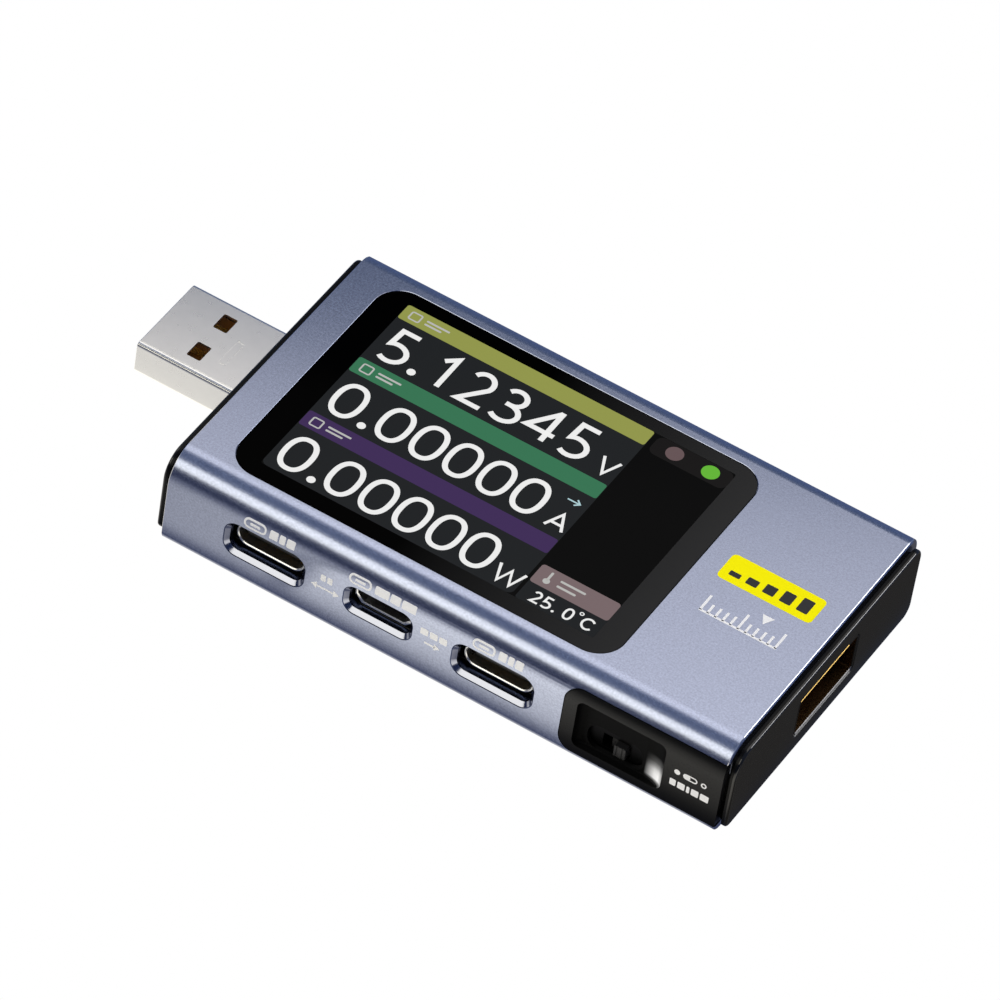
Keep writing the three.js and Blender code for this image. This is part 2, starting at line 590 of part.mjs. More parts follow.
// ---------------------------------------------------------------- slide switch
function slideSwitchBody() {
  const { x, z, length, height, depth, front } = SWITCH;
  const half = length / 2;
  const body = box([x - half, front, z - height / 2], [x + half, front + depth, z + height / 2]);
  const lugs = [-1, 1].map((side) => {
    const near = x + side * (half - 0.2);
    const far = x + side * (half + 0.75);
    const low = [Math.min(near, far), front + 0.9, BOARD.top + TOUCH_GAP];
    return box(low, [Math.max(near, far), front + 2.4, BOARD.top + 0.25]);
  });
  const middle = KNOB.x - SWITCH.travel / 2;
  const window = box([middle - 1.75, front - 1, z - 0.95], [middle + 1.75, front + 1, z + 0.95]);
  const chamber = box([middle - 2.6, front + 0.4, z - 1.25], [middle + 2.6, front + 2.2, z + 1.25]);
  return cut(join(body, ...lugs), window, chamber);
}

function slideSwitchKnob() {
  const half = KNOB.width / 2;
  const low = [KNOB.x - half, KNOB.tip, SWITCH.z - KNOB.height / 2];
  const stem = box(low, [KNOB.x + half, SWITCH.front + 1.2, SWITCH.z + KNOB.height / 2]);
  const { half: reach, rise, near, far } = SLIDER;
  const sliderLow = [KNOB.x - reach, SWITCH.front + near, SWITCH.z - rise];
  const slider = box(sliderLow, [KNOB.x + reach, SWITCH.front + far, SWITCH.z + rise]);
  return join(stem, slider);
}

// ---------------------------------------------------------------- push buttons
const BUTTON_REAR = INNER_BACK - FIT_GAP - FLANGE.thickness;

function buttonCap(x) {
  const radius = BUTTON.height / 2 - 0.2;
  const keyOutline = roundedRectangle(x, BUTTON.z, BUTTON.width, BUTTON.height, radius);
  const key = prism(keyOutline, 'y', BUTTON_REAR, BACK + BUTTON.proud, BUTTON.bevel);
  const flangeSize = [BUTTON.width + 2 * FLANGE.reach, BUTTON.height + 2 * FLANGE.rise];
  const flange = roundedRectangle(x, BUTTON.z, ...flangeSize, radius);
  return join(key, prism(flange, 'y', BUTTON_REAR, BUTTON_REAR + FLANGE.thickness));
}

const TACT_FRONT = BUTTON_REAR - TACT.reach;

function tactBody(x) {
  const low = [x - TACT.width / 2, TACT_FRONT - TACT.depth, BOARD.top + TOUCH_GAP];
  const body = box(low, [x + TACT.width / 2, TACT_FRONT, BOARD.top + TACT.height]);
  const half = TACT.plungerWidth / 2 + FIT_GAP;
  const rise = TACT.plungerHeight / 2 + FIT_GAP;
  const wellLow = [x - half, TACT_FRONT - 1.1, BUTTON.z - rise];
  const well = box(wellLow, [x + half, TACT_FRONT + 1, BUTTON.z + rise]);
  return cut(body, well);
}

function tactPlunger(x) {
  const low = [x - TACT.plungerWidth / 2, TACT_FRONT - 0.6, BUTTON.z - TACT.plungerHeight / 2];
  return box(low, [x + TACT.plungerWidth / 2, BUTTON_REAR - TOUCH_GAP, BUTTON.z + TACT.plungerHeight / 2]);
}

// ---------------------------------------------------------------- assembly
const meter = new THREE.Group();

function place(name, solid, material) {
  const mesh = new THREE.Mesh(toGeometry(solid), material);
  mesh.name = name;
  meter.add(mesh);
}

place('housing_sleeve', housingSleeve(), MATERIALS.anodised);
place('plug_end_cap', mirroredX(endCap(shellOpening(PLUG))), MATERIALS.blackPlastic);
place('socket_end_cap', endCap(shellOpening(SOCKET)), MATERIALS.blackPlastic);
place('switch_bezel', switchBezel(), MATERIALS.blackPlastic);

place('display_lens', displayLens(), MATERIALS.lensGlass);
place('lens_adhesive', lensAdhesive(), MATERIALS.adhesive);
place('display_panel', panelLayer(PANEL.top - PANEL.glass, PANEL.top, 0), MATERIALS.panelGlass);
const backlightTop = PANEL.top - PANEL.glass;
const backlight = panelLayer(backlightTop - PANEL.backlight, backlightTop, 0.2);
place('display_backlight', backlight, MATERIALS.whitePlastic);
place('display_carrier', displayCarrier(), MATERIALS.blackPlastic);
place('display_flex', displayFlex(), MATERIALS.flexAmber);

place('main_board', mainBoard(), MATERIALS.boardGreen);
BOARD_PARTS.forEach(([name, middle, size, material]) => {
  place(name, boardPart(middle, size), MATERIALS[material]);
});
POST_PLACES.forEach((spot, number) => place(`board_screw_${number + 1}`, boardScrew(spot), MATERIALS.steel));

place('plug_shell', plugShell(), MATERIALS.nickel);
place('plug_insulator', plugInsulator(), MATERIALS.orangePlastic);
place('socket_shell', socketShell(), MATERIALS.nickel);
place('socket_tongue', socketTongue(), MATERIALS.orangePlastic);
for (let number = 0; number < 4; number += 1) {
  place(`plug_contact_${number + 1}`, plugContact(number), MATERIALS.gold);
  place(`socket_contact_${number + 1}`, socketContact(number), MATERIALS.gold);
}

for (const [name, x] of Object.entries(TYPE_C_PLACES)) {
  place(`${name}_shell`, typeCShell(x), MATERIALS.nickel);
  place(`${name}_tongue`, typeCTongue(x), MATERIALS.blackPlastic);
}
place('micro_b_in_shell', microShell(MICRO_IN_X, -1), MATERIALS.nickel);
place('micro_b_in_tongue', microTongue(MICRO_IN_X, -1), MATERIALS.blackPlastic);
place('data_port_shell', microShell(DATA_PORT_X, 1), MATERIALS.nickel);
place('data_port_tongue', microTongue(DATA_PORT_X, 1), MATERIALS.blackPlastic);

place('slide_switch_body', slideSwitchBody(), MATERIALS.steel);
place('slide_switch_knob', slideSwitchKnob(), MATERIALS.blackPlastic);

BUTTON_PLACES.forEach((x, number) => {
  place(`button_cap_${number + 1}`, buttonCap(x), MATERIALS.blackPlastic);
  place(`tact_switch_${number + 1}`, tactBody(x), MATERIALS.steel);
  place(`tact_plunger_${number + 1}`, tactPlunger(x), MATERIALS.blackPlastic);
});

export default meter;
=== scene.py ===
"""The finished look of a USB power meter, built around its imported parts.

Sizes below are in millimetres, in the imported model's frame: +X from the plug to the socket, +Z up,
the row of ports facing -Y. Meshes are scaled to metres as they are made.
"""

import json
import math
from functools import partial

import bmesh
import bpy
from mathutils import Matrix, Vector


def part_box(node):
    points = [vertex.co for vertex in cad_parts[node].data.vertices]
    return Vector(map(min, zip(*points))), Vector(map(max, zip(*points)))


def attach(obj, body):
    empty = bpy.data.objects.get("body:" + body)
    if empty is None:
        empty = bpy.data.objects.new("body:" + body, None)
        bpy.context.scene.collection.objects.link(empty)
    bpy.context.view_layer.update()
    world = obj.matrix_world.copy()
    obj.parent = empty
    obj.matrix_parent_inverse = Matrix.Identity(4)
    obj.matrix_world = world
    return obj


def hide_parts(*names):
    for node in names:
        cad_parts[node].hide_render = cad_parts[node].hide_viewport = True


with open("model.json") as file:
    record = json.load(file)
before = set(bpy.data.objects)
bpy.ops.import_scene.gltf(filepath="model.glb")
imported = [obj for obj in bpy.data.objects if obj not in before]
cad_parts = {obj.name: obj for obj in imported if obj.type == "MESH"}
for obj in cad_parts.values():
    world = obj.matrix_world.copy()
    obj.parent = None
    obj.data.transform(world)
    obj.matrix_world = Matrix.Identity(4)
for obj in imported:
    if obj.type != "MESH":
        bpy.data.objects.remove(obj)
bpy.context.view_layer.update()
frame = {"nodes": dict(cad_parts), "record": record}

MM = 0.001
BODY = "meter_body"
ARC = 14


def box(node):
    """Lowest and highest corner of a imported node, in millimetres."""
    low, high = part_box(node)
    return low / MM, high / MM


def middle(node):
    low, high = box(node)
    return (low + high) / 2


def span(low, high):
    """Centre and size of the rectangle between two corners."""
    return [(a + b) / 2 for a, b in zip(low, high)], [b - a for a, b in zip(low, high)]


def section(node, axis):
    """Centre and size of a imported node's outline, seen along an axis."""
    first = {"x": 1, "y": 0}[axis]
    return span(*[(corner[first], corner[2]) for corner in box(node)])


# ---------------------------------------------------------------- dimensions
SLEEVE_LOW, SLEEVE_HIGH = box("housing_sleeve")
END, FRONT, BACK, TOP = SLEEVE_HIGH.x, SLEEVE_LOW.y, SLEEVE_HIGH.y, SLEEVE_HIGH.z
SIDE_WALL, TOP_WALL, FLOOR_WALL = 1.4, 1.5, 1.2
INNER_FRONT, INNER_BACK = FRONT + SIDE_WALL, BACK - SIDE_WALL
RADII = (1.65, 2.4, 2.5, 3.8)  # front low, back low, back high, front high
SKIN = 0.02  # the bare metal lies this far inside the box, and printing fills the rest
END_FACETS = ((0.17, 0.0), (0.1, 0.07), (0.0, 0.34))  # back from the end, and drawn in
RAIL = {"reach": 0.9, "top": 3.25, "half": 32.2}

LENS_LOW, LENS_HIGH = box("display_lens")
LENS_RADIUS = 3.5
LENS_TOP = TOP - 0.045
POCKET_FLOOR = TOP - 0.95
WINDOW = {"size": (45.6, 32.8), "radius": 2.0}

SLOT_CHAMFER = 0.6
TYPE_C_SLOT = {"size": (10.7, 5.0), "radius": 1.8}
MICRO_SLOT = {"size": (9.1, 4.2), "radius": 1.6}
SHELL_WALL = 0.3

CAP = {"side": 0.75, "flat": 0.95, "groove": 0.3, "spigot": 3.2, "wall": 1.0, "gap": 0.1, "edge": 0.32}
NOTCH = {"low": 15.6, "bottom": 1.25, "top": 10.8, "radius": 2.0, "gap": 0.1}
SCOOP = {"low": 17.35, "high": 28.6, "bottom": 2.45, "top": 9.35, "radius": 0.9, "depth": 1.0}
SCOOP_FLOOR = {"low": 18.1, "high": 25.9, "bottom": 2.5, "top": 8.6, "radius": 1.3}
SWITCH_SLOT = {"low": 18.65, "high": 25.65, "bottom": 2.5, "top": 6.1}
BUTTON_Z, BUTTON_SIZE = 6.2, (6.0, 3.0)


# ---------------------------------------------------------------- outlines
def rounded(low, high, radii, steps=ARC):
    """A rounded outline anticlockwise from the low corner, always with the same number of points."""
    a, b, c, d = radii
    corners = [
        (low[0] + a, low[1] + a, a, 180),
        (high[0] - b, low[1] + b, b, 270),
        (high[0] - c, high[1] - c, c, 0),
        (low[0] + d, high[1] - d, d, 90),
    ]
    points = []
    for x, y, radius, start in corners:
        for step in range(steps + 1):
            angle = math.radians(start + 90 * step / steps)
            points.append((x + radius * math.cos(angle), y + radius * math.sin(angle)))
    return points


def oblong(centre, size, radius, inset=0.0, steps=ARC):
    """A rounded rectangle about a centre, drawn in by an inset."""
    half = [side / 2 - inset for side in size]
    corner = max(min(radius - inset, *half) - 1e-4, 0.01)
    low = (centre[0] - half[0], centre[1] - half[1])
    high = (centre[0] + half[0], centre[1] + half[1])
    return rounded(low, high, [corner] * 4, steps)


def sleeve_outline(inset=0.0, side=0.0, top=0.0, floor=0.0):
    low = (FRONT + side + inset, floor + inset)
    high = (BACK - side - inset, TOP - top - inset)
    return rounded(low, high, [max(radius - side - inset, 0.4) for radius in RADII])


def micro_outline(centre, size, inset):
    """A micro-B section: full width at the top, drawn in at the two lower corners."""
    taper, lip = 0.9, 0.2
    x, z = centre
    half, rise = size[0] / 2 - inset, size[1] / 2 - inset
    return [
        (x - half + taper, z - rise), (x + half - taper, z - rise), (x + half, z - rise + taper),
        (x + half, z + rise - lip), (x + half - lip, z + rise), (x - half + lip, z + rise),
        (x - half, z + rise - lip), (x - half, z - rise + taper),
    ]


def lay(axis, outline, level):
    """The points of a flat outline laid across an axis."""
    if axis == "x":
        return [Vector((level, a, b)) for a, b in outline]
    if axis == "y":
        return [Vector((a, level, b)) for a, b in outline]
    return [Vector((a, b, level)) for a, b in outline]


# ---------------------------------------------------------------- meshes
def make_object(name, bm, materials=()):
    """An object from a mesh built in millimetres."""
    bmesh.ops.recalc_face_normals(bm, faces=bm.faces)
    bmesh.ops.scale(bm, vec=(MM, MM, MM), verts=bm.verts)
    mesh = bpy.data.meshes.new(name)
    bm.to_mesh(mesh)
    bm.free()
    for material in materials:
        mesh.materials.append(material)
    made = bpy.data.objects.new(name, mesh)
    bpy.context.scene.collection.objects.link(made)
    return made


def add_loft(bm, rings, bands=None, ends=(0, 0)):
    """A closed solid through rings of equal count. bands and ends give each stretch's material number."""
    levels = [[bm.verts.new(point) for point in ring] for ring in rings]
    count = len(rings[0])
    for number, (near, far) in enumerate(zip(levels, levels[1:])):
        for side in range(count):
            after = (side + 1) % count
            face = bm.faces.new((near[side], near[after], far[after], far[side]))
            face.material_index = bands[number] if bands else 0
    for level, number in ((levels[0], ends[0]), (levels[-1], ends[1])):
        bm.faces.new(level).material_index = number


def loft(name, rings, materials=(), bands=None, ends=(0, 0)):
    bm = bmesh.new()
    add_loft(bm, rings, bands, ends)
    return make_object(name, bm, materials)


def prism(name, axis, outline, start, end, materials=()):
    return loft(name, [lay(axis, outline, start), lay(axis, outline, end)], materials)


def block(name, low, high, materials=()):
    outline = [(low[0], low[1]), (high[0], low[1]), (high[0], high[1]), (low[0], high[1])]
    return prism(name, "z", outline, low[2], high[2], materials)


def soft_rings(axis, shape, start, end, edges, steps=4):
    """Rings of a prism with rounded-over ends. shape(inset) gives its outline drawn in by an inset."""
    sign = 1 if end > start else -1
    rings = []
    for level, edge, inward in ((start, edges[0], sign), (end, edges[1], -sign)):
        profile = []
        for step in range(steps + 1 if edge else 1):
            turn = math.pi / 2 * step / steps
            inset = edge * (1 - math.sin(turn))
            profile.append(lay(axis, shape(inset), level + inward * edge * (1 - math.cos(turn))))
        rings += profile if inward == sign else profile[::-1]
    return rings


def soft_prism(name, axis, shape, start, end, edges, materials=(), steps=4):
    """A prism with rounded-over ends. A second material goes on the rounding of its far end."""
    rings = soft_rings(axis, shape, start, end, edges, steps)
    stretches = len(rings) - 1
    bands = [int(len(materials) > 1 and number >= stretches - steps) for number in range(stretches)]
    return loft(name, rings, materials, bands)


def combine(target, tools, operation="DIFFERENCE"):
    """Joins or cuts a solid with others, which are used up."""
    for tool in tools:
        modifier = target.modifiers.new("join", "BOOLEAN")
        modifier.operation = operation
        modifier.solver = "EXACT"
        modifier.material_mode = "TRANSFER"
        modifier.object = tool
    graph = bpy.context.evaluated_depsgraph_get()
    mesh = bpy.data.meshes.new_from_object(target.evaluated_get(graph))
    target.modifiers.clear()
    target.data = mesh
    for tool in tools:
        bpy.data.objects.remove(tool)
    return target


def shade(made, angle=28):
    """Smooth shading between faces that meet at less than an angle, with flat faces kept flat."""
    made.data.shade_smooth()
    made.data.set_sharp_from_angle(angle=math.radians(angle))
    modifier = made.modifiers.new("normals", "WEIGHTED_NORMAL")
    modifier.keep_sharp = True
    return made


def piece(made, body=BODY, stands_for=()):
    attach(made, body)
    if stands_for:
        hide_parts(*stands_for)
    return made


# ---------------------------------------------------------------- materials
def set_ramp(ramp, stops):
    """Sets a colour ramp's stops, given in order."""
    elements = ramp.color_ramp.elements
    for position, _ in stops[1:-1]:
        elements.new(position)
    for element, (position, colour) in zip(elements, stops):
        element.position = position
        element.color = (*colour, 1)


class Nodes:
    """A node tree, with the few patterns and sums that the materials here are made of."""

    def __init__(self, tree):
        self.tree = tree

    def add(self, kind, **values):
        node = self.tree.nodes.new(f"ShaderNode{kind}")
        for socket, value in values.items():
            node.inputs[socket.replace("_", " ")].default_value = value
        return node

    def link(self, source, target):
        self.tree.links.new(source, target)

    def coordinates(self, kind="Object"):
        """X, Y and Z of each point, as three grey levels."""
        apart = self.add("SeparateXYZ")
        self.link(self.add("TexCoord").outputs[kind], apart.inputs["Vector"])
        return [apart.outputs[letter] for letter in "XYZ"]

    def noise(self, size, stretch=(1, 1, 1)):
        """A noise pattern with features of a size in millimetres, drawn out along the axes."""
        mapping = self.add("Mapping", Scale=stretch)
        texture = self.add("TexNoise", Scale=1 / (size * MM), Detail=2.0)
        self.link(self.add("TexCoord").outputs["Object"], mapping.inputs["Vector"])
        self.link(mapping.outputs["Vector"], texture.inputs["Vector"])
        return texture.outputs["Fac"]

    def mix(self, factor, dark, light):
        """Two colours mixed by a grey level; each is three numbers or another node's output."""
        mix = self.add("Mix")
        mix.data_type = "RGBA"
        self.link(factor, mix.inputs["Factor"])
        for name, colour in (("A", dark), ("B", light)):
            if isinstance(colour, (tuple, list)):
                mix.inputs[name].default_value = (*colour, 1)
            else:
                self.link(colour, mix.inputs[name])
        return mix.outputs["Result"]

    def blend(self, first, second, kind="MULTIPLY"):
        """A grey level multiplied by another or by a number, or another sum of the two."""
        node = self.add("Math")
        node.operation = kind
        self.link(first, node.inputs[0])
        if isinstance(second, (int, float)):
            node.inputs[1].default_value = second
        else:
            self.link(second, node.inputs[1])
        return node.outputs["Value"]

    def spread(self, factor, low, high, start=0.3, end=0.7):
        """The middle of a pattern's range, spread from low to high."""
        node = self.add("MapRange", From_Min=start, From_Max=end, To_Min=low, To_Max=high)
        self.link(factor, node.inputs["Value"])
        return node.outputs["Result"]

    def graded(self, value, stops, start, end):
        """A grey level along a coordinate, through stops at places between a start and an end."""
        ramp = self.add("ValToRGB")
        self.link(self.spread(value, 0, 1, start * MM, end * MM), ramp.inputs["Fac"])
        set_ramp(ramp, [((place - start) / (end - start), (level,) * 3) for place, level in stops])
        return ramp.outputs["Color"]

    def emission(self, colour, strength):
        glow = self.add("Emission", Strength=strength)
        self.link(colour, glow.inputs["Color"])
        return glow.outputs["Emission"]

    def show_camera(self, camera, others, output):
        """Shows one shader to the camera and the other to every other ray."""
        choose = self.add("MixShader")
        self.link(self.add("LightPath").outputs["Is Camera Ray"], choose.inputs["Fac"])
        self.link(others, choose.inputs[1])
        self.link(camera, choose.inputs[2])
        self.link(choose.outputs["Shader"], self.tree.nodes[output].inputs["Surface"])


def new_material(name):
    material = bpy.data.materials.new(name)
    material.use_nodes = True
    return material, Nodes(material.node_tree), material.node_tree.nodes["Principled BSDF"].inputs


def finish_shader(nodes, inputs, colour, pattern, roughness, vary, specular=None):
    """Sets a shader's colour, its roughness varied by a pattern, and its specular level."""
    nodes.link(colour, inputs["Base Color"])
    nodes.link(nodes.spread(pattern, roughness - vary, roughness + vary), inputs["Roughness"])
    if specular is not None:
        inputs["Specular IOR Level"].default_value = specular


def textured(name, colour, roughness, metallic=0.0, grain=0.2, mottle=0.08, vary=0.04,
             bump=0.0, stretch=(1, 1, 1), specular=None):
    """A material whose colour, roughness and surface vary with one grain."""
    material, nodes, inputs = new_material(name)
    pattern = nodes.noise(grain, stretch)
    dark = [channel * (1 - mottle) for channel in colour]
    light = [channel * (1 + mottle) for channel in colour]
    mottled = nodes.mix(nodes.spread(pattern, 0, 1), dark, light)
    finish_shader(nodes, inputs, mottled, pattern, roughness, vary, specular)
    inputs["Metallic"].default_value = metallic
    if bump:
        raised = nodes.add("Bump", Strength=1.0, Distance=bump * MM)
        nodes.link(pattern, raised.inputs["Height"])
        nodes.link(raised.outputs["Normal"], inputs["Normal"])
    return material


ANODISED = textured("anodised_blue_grey", (0.40, 0.44, 0.57), 0.25, 1.0, grain=0.24, mottle=0.11,
                    vary=0.02, bump=0.0004)
# Painted shade: a much darker copy of the anodising, for the port slots' inner walls and the thin rim round
# each mouth.
ANODISED_PAINTED_SHADE = textured("anodised_inner_wall_painted_shade", (0.05, 0.065, 0.13), 0.3, 1.0, grain=0.3, mottle=0.05)
POLISHED = textured("polished_cut_edge", (0.37, 0.39, 0.47), 0.14, 1.0, grain=0.5, mottle=0.04, vary=0.03,
                    stretch=(0.1, 1, 1))
END_POLISH = textured("polished_end_chamfer", (0.82, 0.83, 0.86), 0.2, 1.0, grain=0.5, mottle=0.02)
BLACK_SATIN = textured("black_satin_moulding", (0.004, 0.004, 0.004), 0.27, grain=0.12, mottle=0.2,
                       vary=0.04, specular=0.1)
BLACK_EDGE = textured("black_polished_edge", (0.004, 0.004, 0.004), 0.09, grain=0.12, mottle=0.2, vary=0.01)
OPENING_EDGE = textured("black_opening_edge", (0.006, 0.006, 0.006), 0.36, grain=0.12, mottle=0.2, vary=0.02)
DEEP_BLACK = textured("black_recess", (0.0015, 0.0015, 0.0015), 0.6, grain=0.1, mottle=0.3,
                      specular=0.05)
RUBBER_BLACK = textured("black_button_moulding", (0.012, 0.012, 0.013), 0.5, grain=0.1, mottle=0.2,
                        vary=0.05, bump=0.001)
PORT_BLACK = textured("port_black_moulding", (0.01, 0.01, 0.01), 0.4, grain=0.15, mottle=0.15)
NICKEL = textured("satin_nickel_plate", (0.80, 0.805, 0.80), 0.28, 1.0, grain=1.2, mottle=0.012, vary=0.008)
# Painted shade: darker copies of the nickel for the socket shell's bore (dark brown), the upper part of its
# mouth, and the lower lip where it faces up.
BORE_NICKEL_PAINTED_SHADE = textured("nickel_bore_painted_shade", (0.20, 0.12, 0.05), 0.3, 1.0, grain=0.3, mottle=0.04)
SHADED_NICKEL = textured("shaded_nickel_lip", (0.03, 0.027, 0.024), 0.4, 1.0, grain=0.3, mottle=0.04)
LIP_NICKEL_PAINTED_SHADE = textured("nickel_lip_painted_shade", (0.3, 0.285, 0.27), 0.3, 1.0, grain=0.3, mottle=0.04)
# Painted shade: a near-black copy of the plated steel, for the slide switch body inside its slot.
SWITCH_STEEL_PAINTED_SHADE = textured("steel_painted_shade", (0.012, 0.012, 0.013), 0.4, 1.0, grain=0.3, mottle=0.06)
STEEL = textured("plated_steel", (0.45, 0.45, 0.46), 0.35, 1.0, grain=0.3, mottle=0.06)
GOLD = textured("gold_flash", (0.78, 0.50, 0.14), 0.27, 1.0, grain=0.2, mottle=0.05)
ORANGE = textured("orange_insulator", (0.22, 0.08, 0.009), 0.45, grain=0.3, mottle=0.1)
AMBER_FILM = textured("amber_film", (0.45, 0.17, 0.02), 0.3, grain=0.5, mottle=0.1)
CHIP_RESIN = textured("chip_resin", (0.012, 0.012, 0.012), 0.6, grain=0.08, mottle=0.3)
WHITE_PLASTIC = textured("white_moulding", (0.72, 0.72, 0.69), 0.5, grain=0.2, mottle=0.03)
CARRIER_PLASTIC = textured("carrier_moulding", (0.03, 0.03, 0.03), 0.55, grain=0.15, mottle=0.15)
ADHESIVE = textured("foam_tape", (0.01, 0.01, 0.01), 0.9, grain=0.1, mottle=0.3)
PANEL_GLASS = textured("display_cell", (0.02, 0.022, 0.024), 0.2, grain=0.09, mottle=0.2)
WHITE_INK = textured("white_ink", (0.84, 0.84, 0.84), 0.55, grain=0.1, mottle=0.04)
BLACK_INK = textured("black_ink", (0.008, 0.008, 0.008), 0.5, grain=0.1, mottle=0.2)
YELLOW_INK = textured("yellow_ink", (0.93, 0.85, 0.0), 0.5, grain=0.1, mottle=0.02,
                      specular=0.05)


def lens_material():
    """Black printed glass with a painted reflection that makes it a little greyer towards the socket end."""
    material, nodes, inputs = new_material("printed_cover_glass")
    x = nodes.coordinates()[0]
    # Painted reflection: the colour grades from black to dark grey along the length.
    along = nodes.spread(x, 0, 1, LENS_LOW.x * MM * 0.3, LENS_HIGH.x * MM)
    colour = nodes.mix(along, (0.0003,) * 3, (0.034,) * 3)
    finish_shader(nodes, inputs, colour, nodes.noise(2.0), 0.1, 0.02, 0.01)
    return material


def board_material():
    """Green solder mask with painted shade: black along its edge behind the ports."""
    material, nodes, inputs = new_material("solder_mask")
    # Painted shade: black near the front edge, green further in.
    inside = nodes.spread(nodes.coordinates()[1], 0, 1, -18.5 * MM, -17.5 * MM)
    colour = nodes.mix(inside, (0.001, 0.0012, 0.002), (0.006, 0.07, 0.026))
    finish_shader(nodes, inputs, colour, nodes.noise(0.4), 0.425, 0.075, 0.3)
    return material


def moulded_black(name, stops, reach, light, roughness, specular):
    """Black plastic with painted light: lighter at places along one or two axes."""
    material, nodes, inputs = new_material(name)
    places = dict(zip("XYZ", nodes.coordinates()))
    levels = [nodes.graded(places[letter], stops[letter], *reach[letter]) for letter in stops]
    painted_light = levels[0] if len(levels) == 1 else nodes.blend(*levels)
    colour = nodes.mix(painted_light, (0.0015,) * 3, (light,) * 3)
    finish_shader(nodes, inputs, colour, nodes.noise(0.12), roughness, 0.04, specular)
    return material


def screen_material(name, colour):
    """A lit patch of the display: most of its colour is its own light, under a fine pixel grid."""
    material, nodes, inputs = new_material(name)
    pixel, share = 0.09, 0.75
    grid = nodes.add("TexChecker", Scale=1 / (pixel * MM))
    nodes.link(nodes.add("TexCoord").outputs["Object"], grid.inputs["Vector"])
    own = [channel * (1 - share) for channel in colour]
    dark = [channel * 0.85 for channel in own]
    nodes.link(nodes.mix(grid.outputs["Fac"], dark, own), inputs["Base Color"])
    for socket, value in (("Roughness", 0.2), ("Specular IOR Level", 0.02),
                          ("Emission Color", (*colour, 1)), ("Emission Strength", share)):
        inputs[socket].default_value = value
    return material


LENS_GLASS = lens_material()
# Painted highlight on the scoop's ramp: lightest low down near its right edge, fading upward and to either
# side.
SCOOP_PAINTED_HIGHLIGHT = moulded_black(
    "black_scoop_painted_highlight",
    {"X": [(26.0, 0.0), (27.3, 0.9), (27.9, 1.0), (28.35, 0.5), (28.6, 0.1)],
     "Z": [(2.6, 0.0), (2.8, 0.3), (3.0, 1.0), (3.6, 1.0), (4.2, 0.8), (4.8, 0.35), (5.4, 0.1), (6.4, 0.0)]},
    {"X": (25, 29), "Z": (2, 9)}, 0.58, 0.4, 0.03)
# Painted light on the bezel: lighter in a band at mid height, darker towards the bottom and the top.
BEZEL_PAINTED_LIGHT = moulded_black(
    "black_bezel_painted_light",
    {"Z": [(2.6, 0.0), (3.4, 0.08), (4.0, 0.25), (5.4, 0.47), (7.6, 0.74), (8.8, 0.95), (9.4, 0.9),
           (9.9, 0.55), (10.4, 0.0)]}, {"Z": (0, 12)}, 0.013, 0.3, 0.1)
GREEN_BOARD = board_material()
SLOT_FINISH = {
    "blue_anodised": ANODISED, "black_plastic": BLACK_SATIN, "lens_glass": LENS_GLASS,
    "adhesive_tape": ADHESIVE, "display_glass": PANEL_GLASS, "white_plastic": WHITE_PLASTIC,
    "carrier_plastic": CARRIER_PLASTIC, "board_laminate": GREEN_BOARD, "flex_film": AMBER_FILM,
    "nickel_plate": NICKEL, "orange_plastic": ORANGE, "port_plastic": PORT_BLACK, "gold_plate": GOLD,
    "chip_resin": CHIP_RESIN, "steel_plate": STEEL, "button_plastic": RUBBER_BLACK,
}


def finish_packed_nodes():
    """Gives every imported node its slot's material and slightly broken edges."""
    edge, weld_distance = 0.05, 0.002
    for part in frame["record"]["subparts"]:
        node = frame["nodes"][part["node"]]
        node.data.materials.clear()
        node.data.materials.append(SLOT_FINISH[part["material_slot"]])
        weld = node.modifiers.new("weld", "WELD")
        weld.merge_threshold = weld_distance * MM
        bevel = node.modifiers.new("edges", "BEVEL")
        bevel.width = edge * MM
        bevel.limit_method = "ANGLE"
        bevel.angle_limit = math.radians(40)
    # The switch body gets the near-black steel: painted shade inside the slot.
    frame["nodes"]["slide_switch_body"].data.materials[0] = SWITCH_STEEL_PAINTED_SHADE


# ---------------------------------------------------------------- housing
def port_tool(name, centre, slot):
    """The solid cut away by a port opening in the front wall, with a bright chamfer at its mouth and painted
    shade on its inner wall and rim.
    """
    rim, depth, relief = 0.14, 0.08, 0.12
    place = (centre.x, centre.z)
    levels = ((FRONT - depth, -rim), (FRONT + depth, rim),
              (FRONT + depth + SLOT_CHAMFER - rim, SLOT_CHAMFER),
              (INNER_FRONT - relief, SLOT_CHAMFER), (INNER_FRONT + relief, SLOT_CHAMFER - 2 * relief))
    rings = [lay("y", oblong(place, slot["size"], slot["radius"], inset), y) for y, inset in levels]
    return loft(name, rings, (ANODISED_PAINTED_SHADE, POLISHED, ANODISED), (0, 1, 0, 2))


def pocket_tool():
    """The lens pocket, with its mouth very slightly broken."""
    centre = ((LENS_LOW + LENS_HIGH) / 2).xy
    size = [high - low + 0.16 for low, high in zip(LENS_LOW.xy, LENS_HIGH.xy)]
    chamfer, above = 0.04, 0.1
    levels = ((POCKET_FLOOR, 0), (TOP - SKIN - chamfer, 0), (TOP - SKIN + above, -chamfer - above))
    rings = [lay("z", oblong(centre, size, LENS_RADIUS + 0.08, inset), level) for level, inset in levels]
    return loft("pocket", rings, (ANODISED,))


def notch_outline(gap):
    low = (NOTCH["low"] + gap, NOTCH["bottom"] + gap)
    high = (END - 0.05 if gap else END + 1, NOTCH["top"] - gap)
    return rounded(low, high, (NOTCH["radius"], 0.3, 0.3, NOTCH["radius"]))


